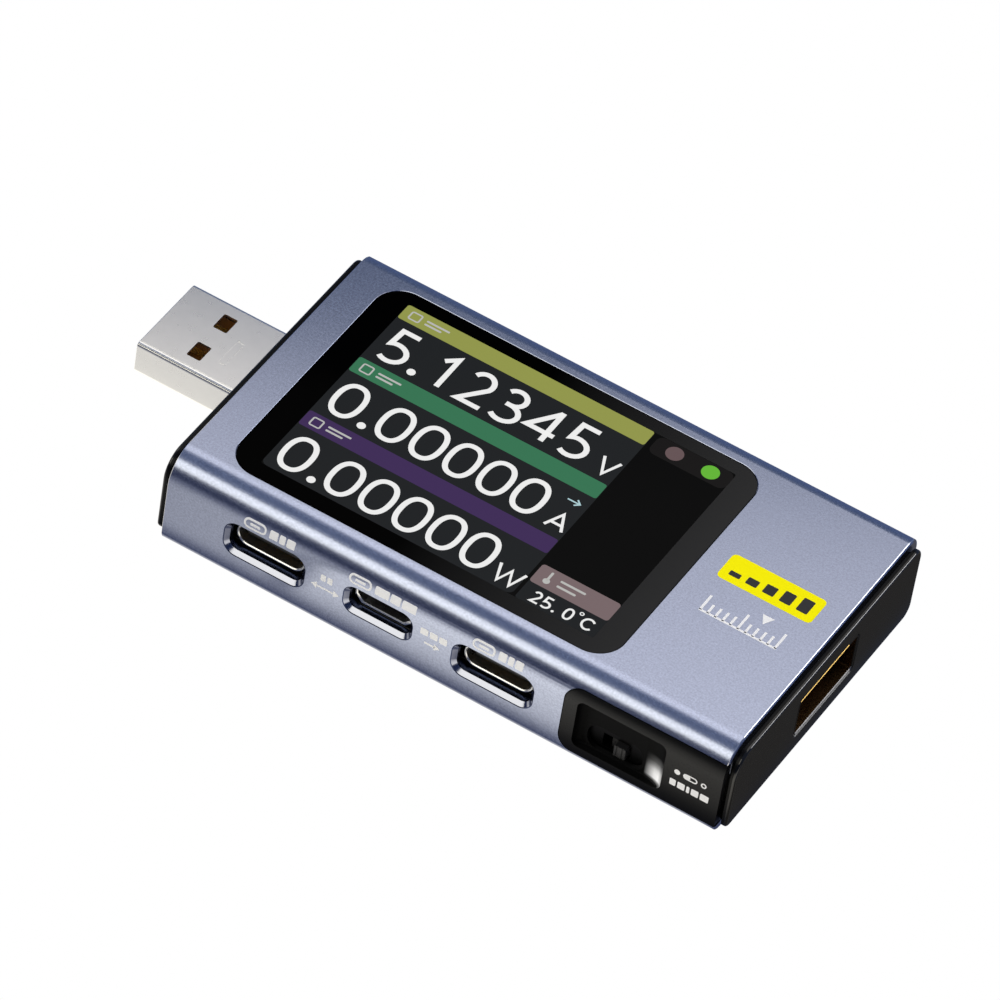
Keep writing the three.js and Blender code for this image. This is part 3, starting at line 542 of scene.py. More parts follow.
def build_sleeve():
    right = [(END - back, SKIN + inset) for back, inset in END_FACETS]
    left = [(-level, inset) for level, inset in reversed(right)]
    rings = [lay("x", sleeve_outline(inset), level) for level, inset in left + right]
    sleeve = loft("housing_sleeve_finished", rings, (ANODISED, END_POLISH), (0, 1, 0, 1, 0))
    inner = sleeve_outline(0, SIDE_WALL, TOP_WALL, FLOOR_WALL)
    combine(sleeve, [prism("cavity", "x", inner, -END - 1, END + 1, (ANODISED,))])
    overlap, low = 0.2, FLOOR_WALL - 0.2
    back_rail = block("back_rail", (-RAIL["half"], INNER_BACK - RAIL["reach"], low),
                      (RAIL["half"], INNER_BACK + overlap, RAIL["top"]), (ANODISED,))
    front_rail = block("front_rail", (-RAIL["half"], INNER_FRONT - overlap, low),
                       (NOTCH["low"] - 0.2, INNER_FRONT + RAIL["reach"], RAIL["top"]), (ANODISED,))
    combine(sleeve, [back_rail, front_rail], "UNION")
    lens_centre = ((LENS_LOW + LENS_HIGH) / 2).xy
    window = oblong(lens_centre, WINDOW["size"], WINDOW["radius"])
    tools = [pocket_tool(), prism("window", "z", window, TOP - TOP_WALL - 1, TOP - 0.5, (ANODISED,))]
    for node, slot in (("usb_c_in_shell", TYPE_C_SLOT), ("micro_b_in_shell", MICRO_SLOT),
                       ("usb_c_out_shell", TYPE_C_SLOT)):
        tools.append(port_tool(f"slot_{node}", middle(node), slot))
    tools.append(prism("notch", "y", notch_outline(0), FRONT - 1, INNER_FRONT, (ANODISED,)))
    data_port = middle("data_port_shell")
    hole = oblong((data_port.x, data_port.z), MICRO_SLOT["size"], MICRO_SLOT["size"][1] / 2 - 0.1)
    tools.append(prism("data_hole", "y", hole, INNER_BACK - 0.2, BACK + 1, (ANODISED,)))
    gap = 0.15
    size = [side + 2 * gap for side in BUTTON_SIZE]
    for number in (1, 2, 3):
        hole = oblong((middle(f"button_cap_{number}").x, BUTTON_Z), size, BUTTON_SIZE[1] / 2)
        tools.append(prism(f"button_hole_{number}", "y", hole, INNER_BACK - 0.2, BACK + 1, (ANODISED,)))
    combine(sleeve, tools)
    return piece(shade(sleeve, 15), stands_for=("housing_sleeve",))


def build_cap(node, side, connector):
    """An end cap: a plate with a soft edge on a spigot, open for the connector."""
    name = f"{node}_finished"

    def flange(inset):
        return sleeve_outline(inset, CAP["side"], CAP["flat"], CAP["flat"])

    face = box(node)[1].x if side > 0 else box(node)[0].x
    plate = soft_prism(name, "x", flange, side * (END + CAP["groove"]), face,
                       (0.08, CAP["edge"]), (BLACK_SATIN, BLACK_EDGE), 5)
    inner_end = side * (END - CAP["spigot"])
    root = side * (END + CAP["groove"] + 0.2)
    outer = sleeve_outline(CAP["gap"], SIDE_WALL, TOP_WALL, FLOOR_WALL)
    spigot = prism("spigot", "x", outer, inner_end, root, (BLACK_SATIN,))
    bore = sleeve_outline(CAP["gap"] + CAP["wall"], SIDE_WALL, TOP_WALL, FLOOR_WALL)
    bore_end = side * (END + CAP["groove"])
    combine(spigot, [prism("bore", "x", bore, inner_end - side, bore_end, (BLACK_SATIN,))])
    combine(plate, [spigot], "UNION")
    centre, size = section(connector, "x")
    size = [length + 0.2 for length in size]
    chamfer = 0.12
    levels = ((inner_end - side, 0), (face - side * chamfer, 0), (face + side * 0.1, -chamfer - 0.1))
    rings = [lay("x", oblong(centre, size, 0.65, inset), level) for level, inset in levels]
    combine(plate, [loft("opening", rings, (BLACK_SATIN, OPENING_EDGE), (0, 1))])
    return piece(shade(plate), stands_for=(node,))


def scoop_tool():
    """The finger scoop: a rounded opening that curves down to a smaller flat floor."""
    rings, steps = [], 12
    opening = [SCOOP[key] for key in ("low", "bottom", "high", "top")]
    floor = [SCOOP_FLOOR[key] for key in ("low", "bottom", "high", "top")]
    lip = 0.12

    def ring(bounds, radius, level):
        outline = rounded(bounds[:2], bounds[2:], [radius] * 4)
        return lay("y", outline, level)

    grown = [value + sign * 2 * lip for value, sign in zip(opening, (-1, -1, 1, 1))]
    rings.append(ring(grown, SCOOP["radius"] + 2 * lip, FRONT - 2 * lip + SKIN))
    for step in range(steps + 1):
        turn = math.pi / 2 * step / steps
        inward, down = 1 - math.cos(turn), math.sin(turn)
        bounds = [start + (stop - start) * inward for start, stop in zip(opening, floor)]
        radius = SCOOP["radius"] + (SCOOP_FLOOR["radius"] - SCOOP["radius"]) * inward
        rings.append(ring(bounds, radius, FRONT + SKIN + lip * 0.3 + (SCOOP["depth"] - lip * 0.3) * down))
    tool = loft("scoop", rings, (SCOOP_PAINTED_HIGHLIGHT, DEEP_BLACK), ends=(0, 1))
    # Faces left of the ramp and above its sill get the plain recess black; the rest keep the painted
    # highlight.
    ramp_start, sill = 25.3 * MM, 3.3 * MM
    for face in tool.data.polygons:
        if face.center.x < ramp_start and face.center.z > sill:
            face.material_index = 1
    return tool


def build_bezel():
    """The black insert round the slide switch, which follows the sleeve's rounding."""
    finish = (BEZEL_PAINTED_LIGHT,)
    bezel = prism("switch_bezel_finished", "x", sleeve_outline(SKIN), NOTCH["low"], END - 0.05, finish)
    window = prism("insert", "y", notch_outline(NOTCH["gap"]), FRONT - 1, INNER_FRONT, finish)
    combine(bezel, [window], "INTERSECT")
    back = FRONT + SCOOP["depth"] + 0.6
    pad = block("pad", (SCOOP["low"] - 0.3, INNER_FRONT - 0.2, 2.0), (SCOOP["high"], back, 8.7), finish)
    hook_low, hook_end = 5.4, (NOTCH["low"] + 1.4, INNER_FRONT + 0.6, 8.4)
    hook = block("hook", (NOTCH["low"] - 1, INNER_FRONT + 0.05, hook_low), hook_end, finish)
    root = block("root", (NOTCH["low"] + 0.3, INNER_FRONT - 0.3, hook_low), hook_end, finish)
    combine(bezel, [pad, hook, root], "UNION")
    low = (SWITCH_SLOT["low"], SWITCH_SLOT["bottom"])
    high = (SWITCH_SLOT["high"], SWITCH_SLOT["top"])
    radius = (high[1] - low[1]) / 2 - 0.3
    slot = prism("slot", "y", rounded(low, high, [radius] * 4), FRONT, back + 0.5, (DEEP_BLACK,))
    combine(bezel, [scoop_tool(), slot])
    return piece(shade(bezel), stands_for=("switch_bezel",))


def build_lens():
    centre = ((LENS_LOW + LENS_HIGH) / 2).xy
    size = [high - low for low, high in zip(LENS_LOW.xy, LENS_HIGH.xy)]
    outline = partial(oblong, centre, size, LENS_RADIUS)
    lens = soft_prism("display_lens_finished", "z", outline, LENS_LOW.z, LENS_TOP,
                      (0.08, 0.12), (LENS_GLASS,))
    return piece(shade(lens, 50), stands_for=("display_lens",))


# ---------------------------------------------------------------- connectors
def build_shell(node, axis, shape, mouth, rear, inside=NICKEL):
    """A drawn metal shell: an outline less its bore, with a rounded lip at the mouth."""
    inward, wall, lip = 1 if rear > mouth else -1, SHELL_WALL, 0.1
    shell = soft_prism(f"{node}_finished", axis, shape, mouth, rear, (lip, 0.0), (NICKEL,))
    levels = ((mouth - inward * lip, wall - 2 * lip), (mouth + inward * lip, wall), (rear + inward, wall))
    rings = [lay(axis, shape(inset), level) for level, inset in levels]
    return combine(shell, [loft("bore", rings, (NICKEL, inside), (0, 1))])


def build_port_shell(node, side, shape_of):
    low, high = box(node)
    mouth, rear = (low.y, high.y) if side < 0 else (high.y, low.y)
    shell = build_shell(node, "y", partial(shape_of, *section(node, "y")), mouth, rear)
    return piece(shade(shell, 35), stands_for=(node,))


def type_c_shape(centre, size, inset):
    return oblong(centre, size, size[1] / 2, inset)


def port_contacts(node, count, pitch, width):
    """Gold pads on the faces of a small port's tongue."""
    low, high = box(node)
    x = (low.x + high.x) / 2
    z = (low.z + high.z) / 2
    front = low.y if abs(low.y) > abs(high.y) else high.y
    inward = 1 if front < 0 else -1
    half = 0.35
    bm = bmesh.new()
    for number in range(count):
        centre = x + (number - (count - 1) / 2) * pitch
        for face in (-1, 1):
            outline = oblong((centre, z + face * half), (width, 0.06), 0.02, steps=1)
            start, end = front + inward * 0.3, front + inward * 3.6
            add_loft(bm, [lay("y", outline, start), lay("y", outline, end)])
    return piece(make_object(f"{node}_pads", bm, (GOLD,)))


def build_plug_shell():
    low, high = box("plug_shell")
    centre, size = section("plug_shell", "x")
    shell = build_shell("plug_shell", "x", partial(oblong, centre, size, 0.55), low.x, high.x)
    window_low, window_length, window_width, offset = low.x + 5.25, 1.8, 2.55, 2.75
    tools = []
    for side in (-1, 1):
        place = (window_low + window_length / 2, centre[0] + side * offset)
        opening = oblong(place, (window_length, window_width), 0.22)
        tools.append(prism(f"window_{side}", "z", opening, low.z - 1, high.z + 1, (NICKEL,)))
    depth, fine, above = 0.05, 0.09, high.z + 1
    seam = (low.y + 0.12, low.y + 0.12 + fine)
    fold = seam[1] + 0.42
    for name, near, far, cut, finish in (("seam", *seam, 0.16, PORT_BLACK),
                                         ("fold", fold, fold + 0.04, 0.02, NICKEL)):
        tools.append(block(name, (low.x - 1, near, high.z - cut), (high.x, far, above), (finish,)))
    combine(shell, tools)
    mark_centre, mark_size = (low.x + 9.2, centre[0] - 0.8), (0.95, 4.1)
    mark = partial(oblong, mark_centre, mark_size, 0.15)
    frame_tool = prism("mark", "z", mark(0.0), high.z - depth, above, (NICKEL,))
    combine(frame_tool, [prism("island", "z", mark(0.07), high.z - 1, high.z + 2, (NICKEL,))])
    pit = oblong((mark_centre[0] - 0.35, mark_centre[1] + 2.2), (0.2, 0.2), 0.1)
    dimple = prism("dimple", "z", pit, high.z - 0.12, above, (NICKEL,))
    combine(shell, [frame_tool, dimple])
    return piece(shade(shell, 35), stands_for=("plug_shell",))


def build_socket_shell():
    low, high = box("socket_shell")
    centre, size = section("socket_shell", "x")
    outline = partial(oblong, centre, size, 0.6)
    shell = build_shell("socket_shell", "x", outline, high.x, low.x, BORE_NICKEL_PAINTED_SHADE)
    for material in (SHADED_NICKEL, LIP_NICKEL_PAINTED_SHADE):
        shell.data.materials.append(material)
    last = len(shell.data.materials) - 1
    for face in shell.data.polygons:
        if face.center.x > (high.x - 0.12) * MM:  # the mouth: painted shade above, a dimmer painted copy where it faces up
            if face.center.z > (low.z + 0.45) * MM:
                face.material_index = last - 1
            elif face.normal.z > 0.1:
                face.material_index = last
    # Painted reflection: a gold bevel cut along the upper edge of the socket's mouth.
    bevel, reach = 0.24, 0.84
    corner = [(high.x - bevel, high.z + 0.001), (high.x + 0.1, high.z + 0.001),
              (high.x + 0.1, high.z - bevel - 0.1)]
    combine(shell, [prism("painted_gold_reflection", "y", corner, low.y + 0.3, low.y + reach * size[0], (GOLD,))])
    return piece(shade(shell, 35), stands_for=("socket_shell",))


# ---------------------------------------------------------------- switch and buttons
def build_knob():
    """The slide switch's knob, with two grip grooves across its tip."""
    low, high = box("slide_switch_knob")
    centre, width, height = 22.8, 1.5, 1.6
    finish = (RUBBER_BLACK,)
    outline = partial(oblong, (centre, (low.z + high.z) / 2), (width, height), 0.15)
    knob = soft_prism("slide_switch_knob_finished", "y", outline, low.y, high.y - 1.2, (0.12, 0), finish)
    slider = block("slider", (low.x, high.y - 1.4, low.z), (high.x, high.y, high.z), finish)
    combine(knob, [slider], "UNION")
    grooves = []
    for side in (-1, 1):
        place, half, depth = centre + side * 0.35, 0.09, 0.12
        grooves.append(block(f"groove_{side}", (place - half, low.y - 1, low.z - 1),
                             (place + half, low.y + depth, high.z + 1), finish))
    combine(knob, grooves)
    return piece(shade(knob, 35), "switch_knob", ("slide_switch_knob",))


def build_button(number):
    """A push button with a soft edge and a slight dish in its face."""
    node = f"button_cap_{number}"
    low, high = box(node)
    x = (low.x + high.x) / 2
    dish, steps = 0.1, 4
    outline = partial(oblong, (x, BUTTON_Z), BUTTON_SIZE, BUTTON_SIZE[1] / 2)
    rings = soft_rings("y", outline, low.y, high.y, (0.0, 0.2), 5)
    for step in range(1, steps + 1):
        inset = 0.2 + 1.1 * step / steps
        fall = dish * math.sin(math.pi / 2 * step / steps)
        rings.append(lay("y", outline(inset), high.y - fall))
    cap = loft(f"{node}_finished", rings, (RUBBER_BLACK,))
    flange = oblong((x, BUTTON_Z), (high.x - low.x, high.z - low.z), (high.z - low.z) / 2)
    combine(cap, [prism("flange", "y", flange, low.y - 0.001, low.y + 0.6, (RUBBER_BLACK,))], "UNION")
    return piece(shade(cap, 35), f"button_{number}", (node,))


# ---------------------------------------------------------------- flat graphics
def ribbon(points, width, closed=False):
    """The two edges of a stroke along points, mitred at the bends."""
    count = len(points)
    lefts, rights = [], []
    for index, (x, y) in enumerate(points):
        before = points[index - 1] if index or closed else None
        after = points[(index + 1) % count] if index + 1 < count or closed else None
        normals = []
        for start, end in ((before, (x, y)), ((x, y), after)):
            if start and end:
                along = Vector((end[0] - start[0], end[1] - start[1])).normalized()
                normals.append(Vector((-along.y, along.x)))
        across = sum(normals, Vector((0, 0))).normalized()
        reach = width / 2 / max(across.dot(normals[0]), 0.45)
        lefts.append((x + across.x * reach, y + across.y * reach))
        rights.append((x - across.x * reach, y - across.y * reach))
    return lefts, rights


class Graphic:
    """Flat marks that share one thin layer, drawn in the plane of a face."""

    def __init__(self, axis, level, rise, bend=None):
        self.bm = bmesh.new()
        self.axis, self.bend = axis, bend
        outward = -1 if axis == "y" else 1
        self.levels = (level - outward * 0.005, level + outward * rise)

    def fill(self, outline):
        add_loft(self.bm, [lay(self.axis, outline, level) for level in self.levels])

    def bar(self, low, high, radius=0.0, steps=6):
        self.fill(oblong(*span(low, high), radius, steps=steps))

    def disc(self, centre, radius, steps=10):
        self.fill(oblong(centre, (2 * radius, 2 * radius), radius, steps=steps))

    def stroke(self, points, width, closed=False):
        edges = ribbon(points, width, closed)
        low, high = [[[self.bm.verts.new(p) for p in lay(self.axis, edge, level)] for edge in edges]
                     for level in self.levels]
        count = len(points)
        for index in range(count if closed else count - 1):
            after = (index + 1) % count
            for (left, right) in (low, high):
                self.bm.faces.new((left[index], left[after], right[after], right[index]))
            for side in (0, 1):
                self.bm.faces.new((low[side][index], low[side][after], high[side][after], high[side][index]))
        if not closed:
            for index in (0, count - 1):
                self.bm.faces.new((low[0][index], low[1][index], high[1][index], high[0][index]))

    def ring(self, low, high, radius, width, steps=6):
        self.stroke(oblong(*span(low, high), radius, width / 2, steps), width, closed=True)

    def finish(self, name, material, slot):
        if self.bend:
            self.bend(self.bm)
        return piece(make_object(name, self.bm, (material,)))


def arc(x, y, wide, tall, start, end, steps=16):
    """Points of an elliptical arc between two angles in degrees."""
    turns = [math.radians(start + (end - start) * step / steps) for step in range(steps + 1)]
    return [(x + wide * math.cos(turn), y + tall * math.sin(turn)) for turn in turns]


def oval():
    """A closed, slightly squared oval in the unit box."""
    steps, power = 40, 2 / 2.35
    turns = [2 * math.pi * step / steps for step in range(steps)]
    return [tuple(0.5 + 0.5 * math.copysign(abs(part) ** power, part)
                  for part in (math.cos(turn), math.sin(turn))) for turn in turns]


# Strokes of the readout's characters, as points in a unit box.
GLYPHS = {
    "0": [oval()],
    "1": [[(0.0, 0.78), (0.82, 1.0), (0.82, 0.0)]],
    "2": [arc(0.44, 0.72, 0.43, 0.28, 155, -28) + [(0.03, 0.0), (1.0, 0.0)]],
    "3": [arc(0.42, 0.76, 0.44, 0.24, 150, -90) + [(0.2, 0.52)], arc(0.40, 0.255, 0.58, 0.265, 88, -140)],
    "4": [[(0.74, 1.0), (0.0, 0.27), (1.0, 0.27)], [(0.74, 0.0), (0.74, 1.03)]],
    "5": [[(0.92, 1.0), (0.12, 1.0), (0.05, 0.52)] + arc(0.38, 0.285, 0.6, 0.285, 112, -130)],
    "V": [[(0.0, 1.0), (0.5, 0.0), (1.0, 1.0)]],
    "A": [[(0.0, 0.0), (0.5, 1.0), (1.0, 0.0)], [(0.2, 0.32), (0.8, 0.32)]],
    "W": [[(0.0, 1.0), (0.26, 0.0), (0.5, 0.85), (0.74, 0.0), (1.0, 1.0)]],
    "C": [arc(0.55, 0.5, 0.55, 0.5, 40, 320, 24)],
}


def write_glyph(graphic, glyph, low, high, weight):
    """Draws one character so that its inked edges meet a box."""
    size = [high[axis] - low[axis] - weight for axis in (0, 1)]
    for stroke in GLYPHS[glyph]:
        points = [(low[0] + weight / 2 + x * size[0], low[1] + weight / 2 + y * size[1]) for x, y in stroke]
        graphic.stroke(points, weight, closed=glyph == "0")


# ---------------------------------------------------------------- display
LAYER = 0.012
SCREEN_LOW, SCREEN_HIGH = (-27.85, -15.1), (15.05, 16.0)
COLUMN_RIGHT = 4.55
ROWS = {"voltage": 6.6, "current": -3.92, "power": -14.4}
DIGIT_HEIGHT, DIGIT_WEIGHT = 5.8, 0.66
BARS = {"yellow": (13.5, 16.0), "green": (3.08, 5.65), "purple": (-7.42, -4.86)}
WARM_BAR = (-12.05, -8.93)


def screen_patch(name, thickness, areas, material, colour):
    """Rounded areas of one colour on the display, each from corner to corner with a radius."""
    patch = Graphic("z", LENS_TOP, LAYER * thickness)
    for area in areas:
        patch.bar(*area)
    patch.finish(name, screen_material(material, colour), "display_glass")


def build_screen_areas():
    """The display's dark areas, its coloured bars and its two status dots."""
    right, top = SCREEN_HIGH
    screen_patch("display_area", 0.5, [(SCREEN_LOW, SCREEN_HIGH, 0.3)], "screen_black", (0.0033,) * 3)
    panels = [(SCREEN_LOW, (COLUMN_RIGHT, top), 0.8), ((5.0, SCREEN_LOW[1]), (right, -11.6), 0.3)]
    screen_patch("display_panels", 1, panels, "screen_grey", (0.0168, 0.0185, 0.0203))
    screen_patch("display_status_field", 1.1, [((5.2, 12.95), (right, top - 0.05), 0.9)],
                 "screen_dark", (0.0112, 0.0103, 0.0103))
    colours = {"yellow": (0.31, 0.335, 0.08), "green": (0.044, 0.19, 0.095), "purple": (0.056, 0.030, 0.105)}
    for name, (low, high) in BARS.items():
        area = ((SCREEN_LOW[0] + 0.05, low), (COLUMN_RIGHT - 0.05, high), 0.3)
        screen_patch(f"display_bar_{name}", 2, [area], f"screen_{name}", colours[name])
    screen_patch("display_bar_temperature", 2, [((5.0, WARM_BAR[0]), (right, WARM_BAR[1]), 0.4)],
                 "screen_rose", (0.205, 0.15, 0.155))
    for name, x, colour in (("idle", 7.93, (0.145, 0.098, 0.102)), ("active", 12.56, (0.14, 0.50, 0.045))):
        dot = Graphic("z", LENS_TOP, LAYER * 2)
        dot.disc((x, 14.51), 1.07)
        dot.finish(f"display_dot_{name}", screen_material(f"screen_dot_{name}", colour), "display_glass")


def write_number(graphic, row, digits, places, widths):
    low = ROWS[row]
    for digit, x, width in zip(digits, places, widths):
        write_glyph(graphic, digit, (x - width / 2, low), (x + width / 2, low + DIGIT_HEIGHT), DIGIT_WEIGHT)


def build_readout():
    """The three measured values with their units, and the temperature."""
    digits = Graphic("z", LENS_TOP, LAYER * 1.6)
    places = [-25.08, -19.0, -14.6, -10.22, -5.86, -1.48]
    for row, shift in (("current", 0.0), ("power", -0.08)):
        write_number(digits, row, "000000", [place + shift for place in places], [3.86] * 6)
    write_number(digits, "voltage", "512345", [-24.97, -19.15, -14.57, -10.25, -5.9, -1.38],
                 [3.4, 2.2, 3.7, 3.5, 4.2, 3.4])
    for row in ROWS:
        digits.disc((-22.02, ROWS[row] + 0.5), 0.52)
    units = (("voltage", "V", 3.0, 2.5, 2.95), ("current", "A", 2.97, 2.55, 2.9),
             ("power", "W", 2.88, 3.6, 2.9))
    for row, unit, x, width, height in units:
        low = ROWS[row] + 0.05
        write_glyph(digits, unit, (x - width / 2, low), (x + width / 2, low + height), 0.36)
    fine, low = 0.27, -14.68
    for glyph, left, right in (("2", 6.44, 7.67), ("5", 7.84, 9.0), ("0", 10.5, 11.67), ("C", 12.75, 14.29)):
        write_glyph(digits, glyph, (left, low), (right, low + 1.88), fine)
    digits.disc((9.44, low + 0.22), 0.17, 5)
    digits.ring((12.0, low + 1.62), (12.55, low + 2.17), 0.27, 0.13)
    digits.finish("display_readout", screen_material("screen_white", (0.92, 0.92, 0.91)), "display_glass")
    arrow = Graphic("z", LENS_TOP, LAYER * 1.6)
    arrow.stroke([(2.0, 1.22), (3.4, 1.22)], 0.2)
    arrow.stroke([(3.05, 1.72), (3.6, 1.22), (3.05, 0.72)], 0.2)
    arrow.finish("display_arrow", screen_material("screen_pale_blue", (0.45, 0.66, 0.70)), "display_glass")


def build_bar_marks():
    """A generic block and two lines at the left of each bar, where a caption would be."""
    marks = Graphic("z", LENS_TOP, LAYER * 2.4)
    for low, high in BARS.values():
        inner, left = 0.55, SCREEN_LOW[0] + 0.95
        marks.ring((left, low + inner), (left + 1.5, high - inner), 0.3, 0.2)
        for share, length in ((0.3, 2.2), (0.7, 3.0)):
            y = low + inner + share * (high - low - 2 * inner)
            marks.bar((left + 2.1, y - 0.14), (left + 2.1 + length, y + 0.14), 0.1, 2)
    low, high = WARM_BAR[0] + 0.7, WARM_BAR[1] - 0.7
    marks.disc((6.6, low + 0.35), 0.42)
    marks.bar((6.45, low + 0.4), (6.75, high + 0.2), 0.15, 3)
    for share, length in ((0.25, 2.4), (0.75, 3.2)):
        y = low + share * (high - low)
        marks.bar((7.9, y - 0.16), (7.9 + length, y + 0.16), 0.1, 2)
    marks.finish("display_marks", screen_material("screen_mark", (0.52, 0.52, 0.50)), "display_glass")


# ---------------------------------------------------------------- printing
def build_label():
    """A yellow label with rising level bars, and a graduated scale below it."""
    surface = TOP - SKIN
    label = Graphic("z", surface, SKIN * 0.5)
    label.bar((20.96, 1.3), (32.95, 5.5), 0.6)
    printed = [label.finish("label_yellow", YELLOW_INK, "white_plastic")]
    bars = Graphic("z", surface, SKIN)
    for number in range(5):
        left, foot = 21.95 + number * 2.15, 2.3
        bars.bar((left, foot), (left + 1.4, foot + 0.75 + 0.36 * number), 0.12, 2)
    bars.finish("label_level_bars", BLACK_INK, "black_plastic")
    scale = Graphic("z", surface, SKIN * 0.8)
    left, step, foot, weight = 22.2, 0.95, -4.2, 0.3
    half = weight / 2
    scale.bar((left - half, foot - half), (left + 10 * step + half, foot + half), 0.05, 2)
    for number in range(11):
        rise = 2.6 if number % 5 == 0 else 1.5
        x = left + number * step
        scale.bar((x - half, foot), (x + half, foot + rise), 0.05, 2)
    pointer = left + 7 * step
    scale.fill([(pointer, foot + 2.3), (pointer + 0.75, foot + 3.7), (pointer - 0.75, foot + 3.7)])
    printed.append(scale.finish("printed_scale", WHITE_INK, "white_plastic"))
    return printed


def wrap_front(bm):
    """Bends flat marks on the front plane round the sleeve's upper rounding."""
    radius = RADII[3]
    start = TOP - radius
    step = 0.2
    for number in range(1, 12):
        level = Vector((0, 0, start + number * step))
        geometry = bm.verts[:] + bm.edges[:] + bm.faces[:]
        bmesh.ops.bisect_plane(bm, geom=geometry, plane_co=level, plane_no=(0, 0, 1))
    for vert in bm.verts:
        over = max(vert.co.z - start, 0)
        vert.co.y += radius - math.sqrt(radius * radius - over * over)


def dashes(graphic, left, right, low, high, shares):
    """A row of solid blocks between two coordinates, in given shares, for a line of lettering."""
    gap = 0.22
    room = right - left - gap * (len(shares) - 1)
    x = left
    for share in shares:
        width = room * share / sum(shares)
        graphic.bar((x, low), (x + width, high), 0.12, 2)
        x += width + gap


def arrow_head(graphic, tip, z, length, half):
    graphic.fill([(tip, z), (tip - length, z + half), (tip - length, z - half)])


def build_port_marks():
    """White port symbols over the front openings, with arrows for the direction of flow."""
    marks = Graphic("y", FRONT + SKIN, SKIN, wrap_front)
    low, high = 9.05, 10.35
    for left, right in ((-25.8, -19.2), (-12.15, -3.5), (3.75, 10.2)):
        marks.ring((left, low), (left + 2.9, high), 0.6, 0.24)
        marks.bar((left + 0.8, low + 0.5), (left + 2.1, high - 0.5), 0.1, 2)
        dashes(marks, left + 3.35, right, low + 0.1, high - 0.1, (1.0, 0.7, 1.0))
    arrow_z, head, half, weight = 5.95, 0.75, 0.5, 0.26
    marks.stroke([(-15.8, arrow_z), (-13.7, arrow_z)], weight)
    arrow_head(marks, -12.95, arrow_z, head, half)
    arrow_head(marks, -16.6, arrow_z, -head, half)
    dashes(marks, -15.5, -14.0, 7.0, 7.95, (1, 1))
    marks.stroke([(-1.95, arrow_z), (-0.6, arrow_z)], weight)
    arrow_head(marks, 0.05, arrow_z, head, half)
    dashes(marks, -2.6, 0.8, 7.0, 7.95, (1, 1, 1))
    return marks.finish("printed_port_marks", WHITE_INK, "white_plastic")


def build_switch_marks():
    """A toggle symbol between a dot and a ring on the bezel, over a row of blocks."""
    marks = Graphic("y", FRONT + SKIN, SKIN)
    marks.ring((31.05, 6.2), (32.85, 7.0), 0.4, 0.16)
    marks.bar((31.2, 6.33), (31.95, 6.87), 0.25, 3)
    marks.disc((30.3, 6.6), 0.36)
    marks.ring((33.3, 6.24), (34.0, 6.96), 0.35, 0.16)
    dashes(marks, 29.6, 34.5, 4.35, 5.3, (1.0, 1.2, 0.5, 1.2, 1.4))
    return marks.finish("printed_switch_marks", WHITE_INK, "white_plastic")


# ---------------------------------------------------------------- studio
def build_camera():
    """A long lens at the front right, looking down at the meter."""
    right = Vector((0.8478656, 0.5164624, 0.1199604))
    down = Vector((0.4449480, -0.5700266, -0.6907177))
    forward = Vector((-0.2883491, 0.6390119, -0.7131049))
    data = bpy.data.cameras.new("camera")
    data.sensor_width = 36
    data.lens = 333.87
    data.clip_start, data.clip_end = 0.05, 20
    camera = bpy.data.objects.new("camera", data)
    axes = Matrix((right, -down, -forward)).transposed().to_4x4()
    camera.matrix_world = Matrix.Translation(Vector((289.744, -654.219, 738.696)) * MM) @ axes
    bpy.context.scene.collection.objects.link(camera)
    bpy.context.scene.camera = camera


def softbox(name, centre, aim, size, radiance, tint=(1, 1, 1), across=(1, 0, 0), only=()):
    """An area light, in millimetres, facing a point; it can be made to light only some objects."""
    away = (Vector(centre) - Vector(aim)).normalized()
    up = away.cross(Vector(across)).normalized()
    data = bpy.data.lights.new(name, "AREA")
    data.shape = "RECTANGLE"
    data.size, data.size_y = [side * MM for side in size]
    data.energy = math.pi * data.size * data.size_y * radiance
    data.color = tint
    lamp = bpy.data.objects.new(name, data)
    axes = Matrix((up.cross(away), up, away)).transposed().to_4x4()
    lamp.matrix_world = Matrix.Translation(Vector(centre) * MM) @ axes
    lamp.visible_camera = False
    bpy.context.scene.collection.objects.link(lamp)
    if only:
        receivers = bpy.data.collections.new(f"lit_by_{name}")
        for made in only:
            receivers.objects.link(made)
        lamp.light_linking.receiver_collection = receivers


def build_world():
    """A pale room for the camera, and soft bands of light along the length for the metal to mirror."""
    world = bpy.data.worlds.new("studio")
    bpy.context.scene.world = world
    world.use_nodes = True
    nodes, room = Nodes(world.node_tree), world.node_tree.nodes["Background"]
    _, y, z = nodes.coordinates("Generated")
    turn = nodes.blend(z, nodes.blend(y, -1), "ARCTAN2")
    bands = nodes.add("ValToRGB")
    nodes.link(nodes.blend(turn, math.pi, "DIVIDE"), bands.inputs["Fac"])
    stops = [
        (0.0, (0.015, 0.026, 0.075)), (0.15, (0.025, 0.04, 0.1)), (0.3, (0.11, 0.15, 0.26)),
        (0.42, (0.14, 0.18, 0.29)), (0.6, (0.14, 0.18, 0.28)), (0.75, (0.13, 0.165, 0.24)),
        (1.0, (0.12, 0.17, 0.31)),
    ]
    set_ramp(bands, stops)
    nodes.link(bands.outputs["Color"], room.inputs["Color"])
    backdrop = nodes.add("Background", Color=(0.96, 0.96, 0.96, 1))
    nodes.show_camera(backdrop.outputs["Background"], room.outputs["Background"], "World Output")


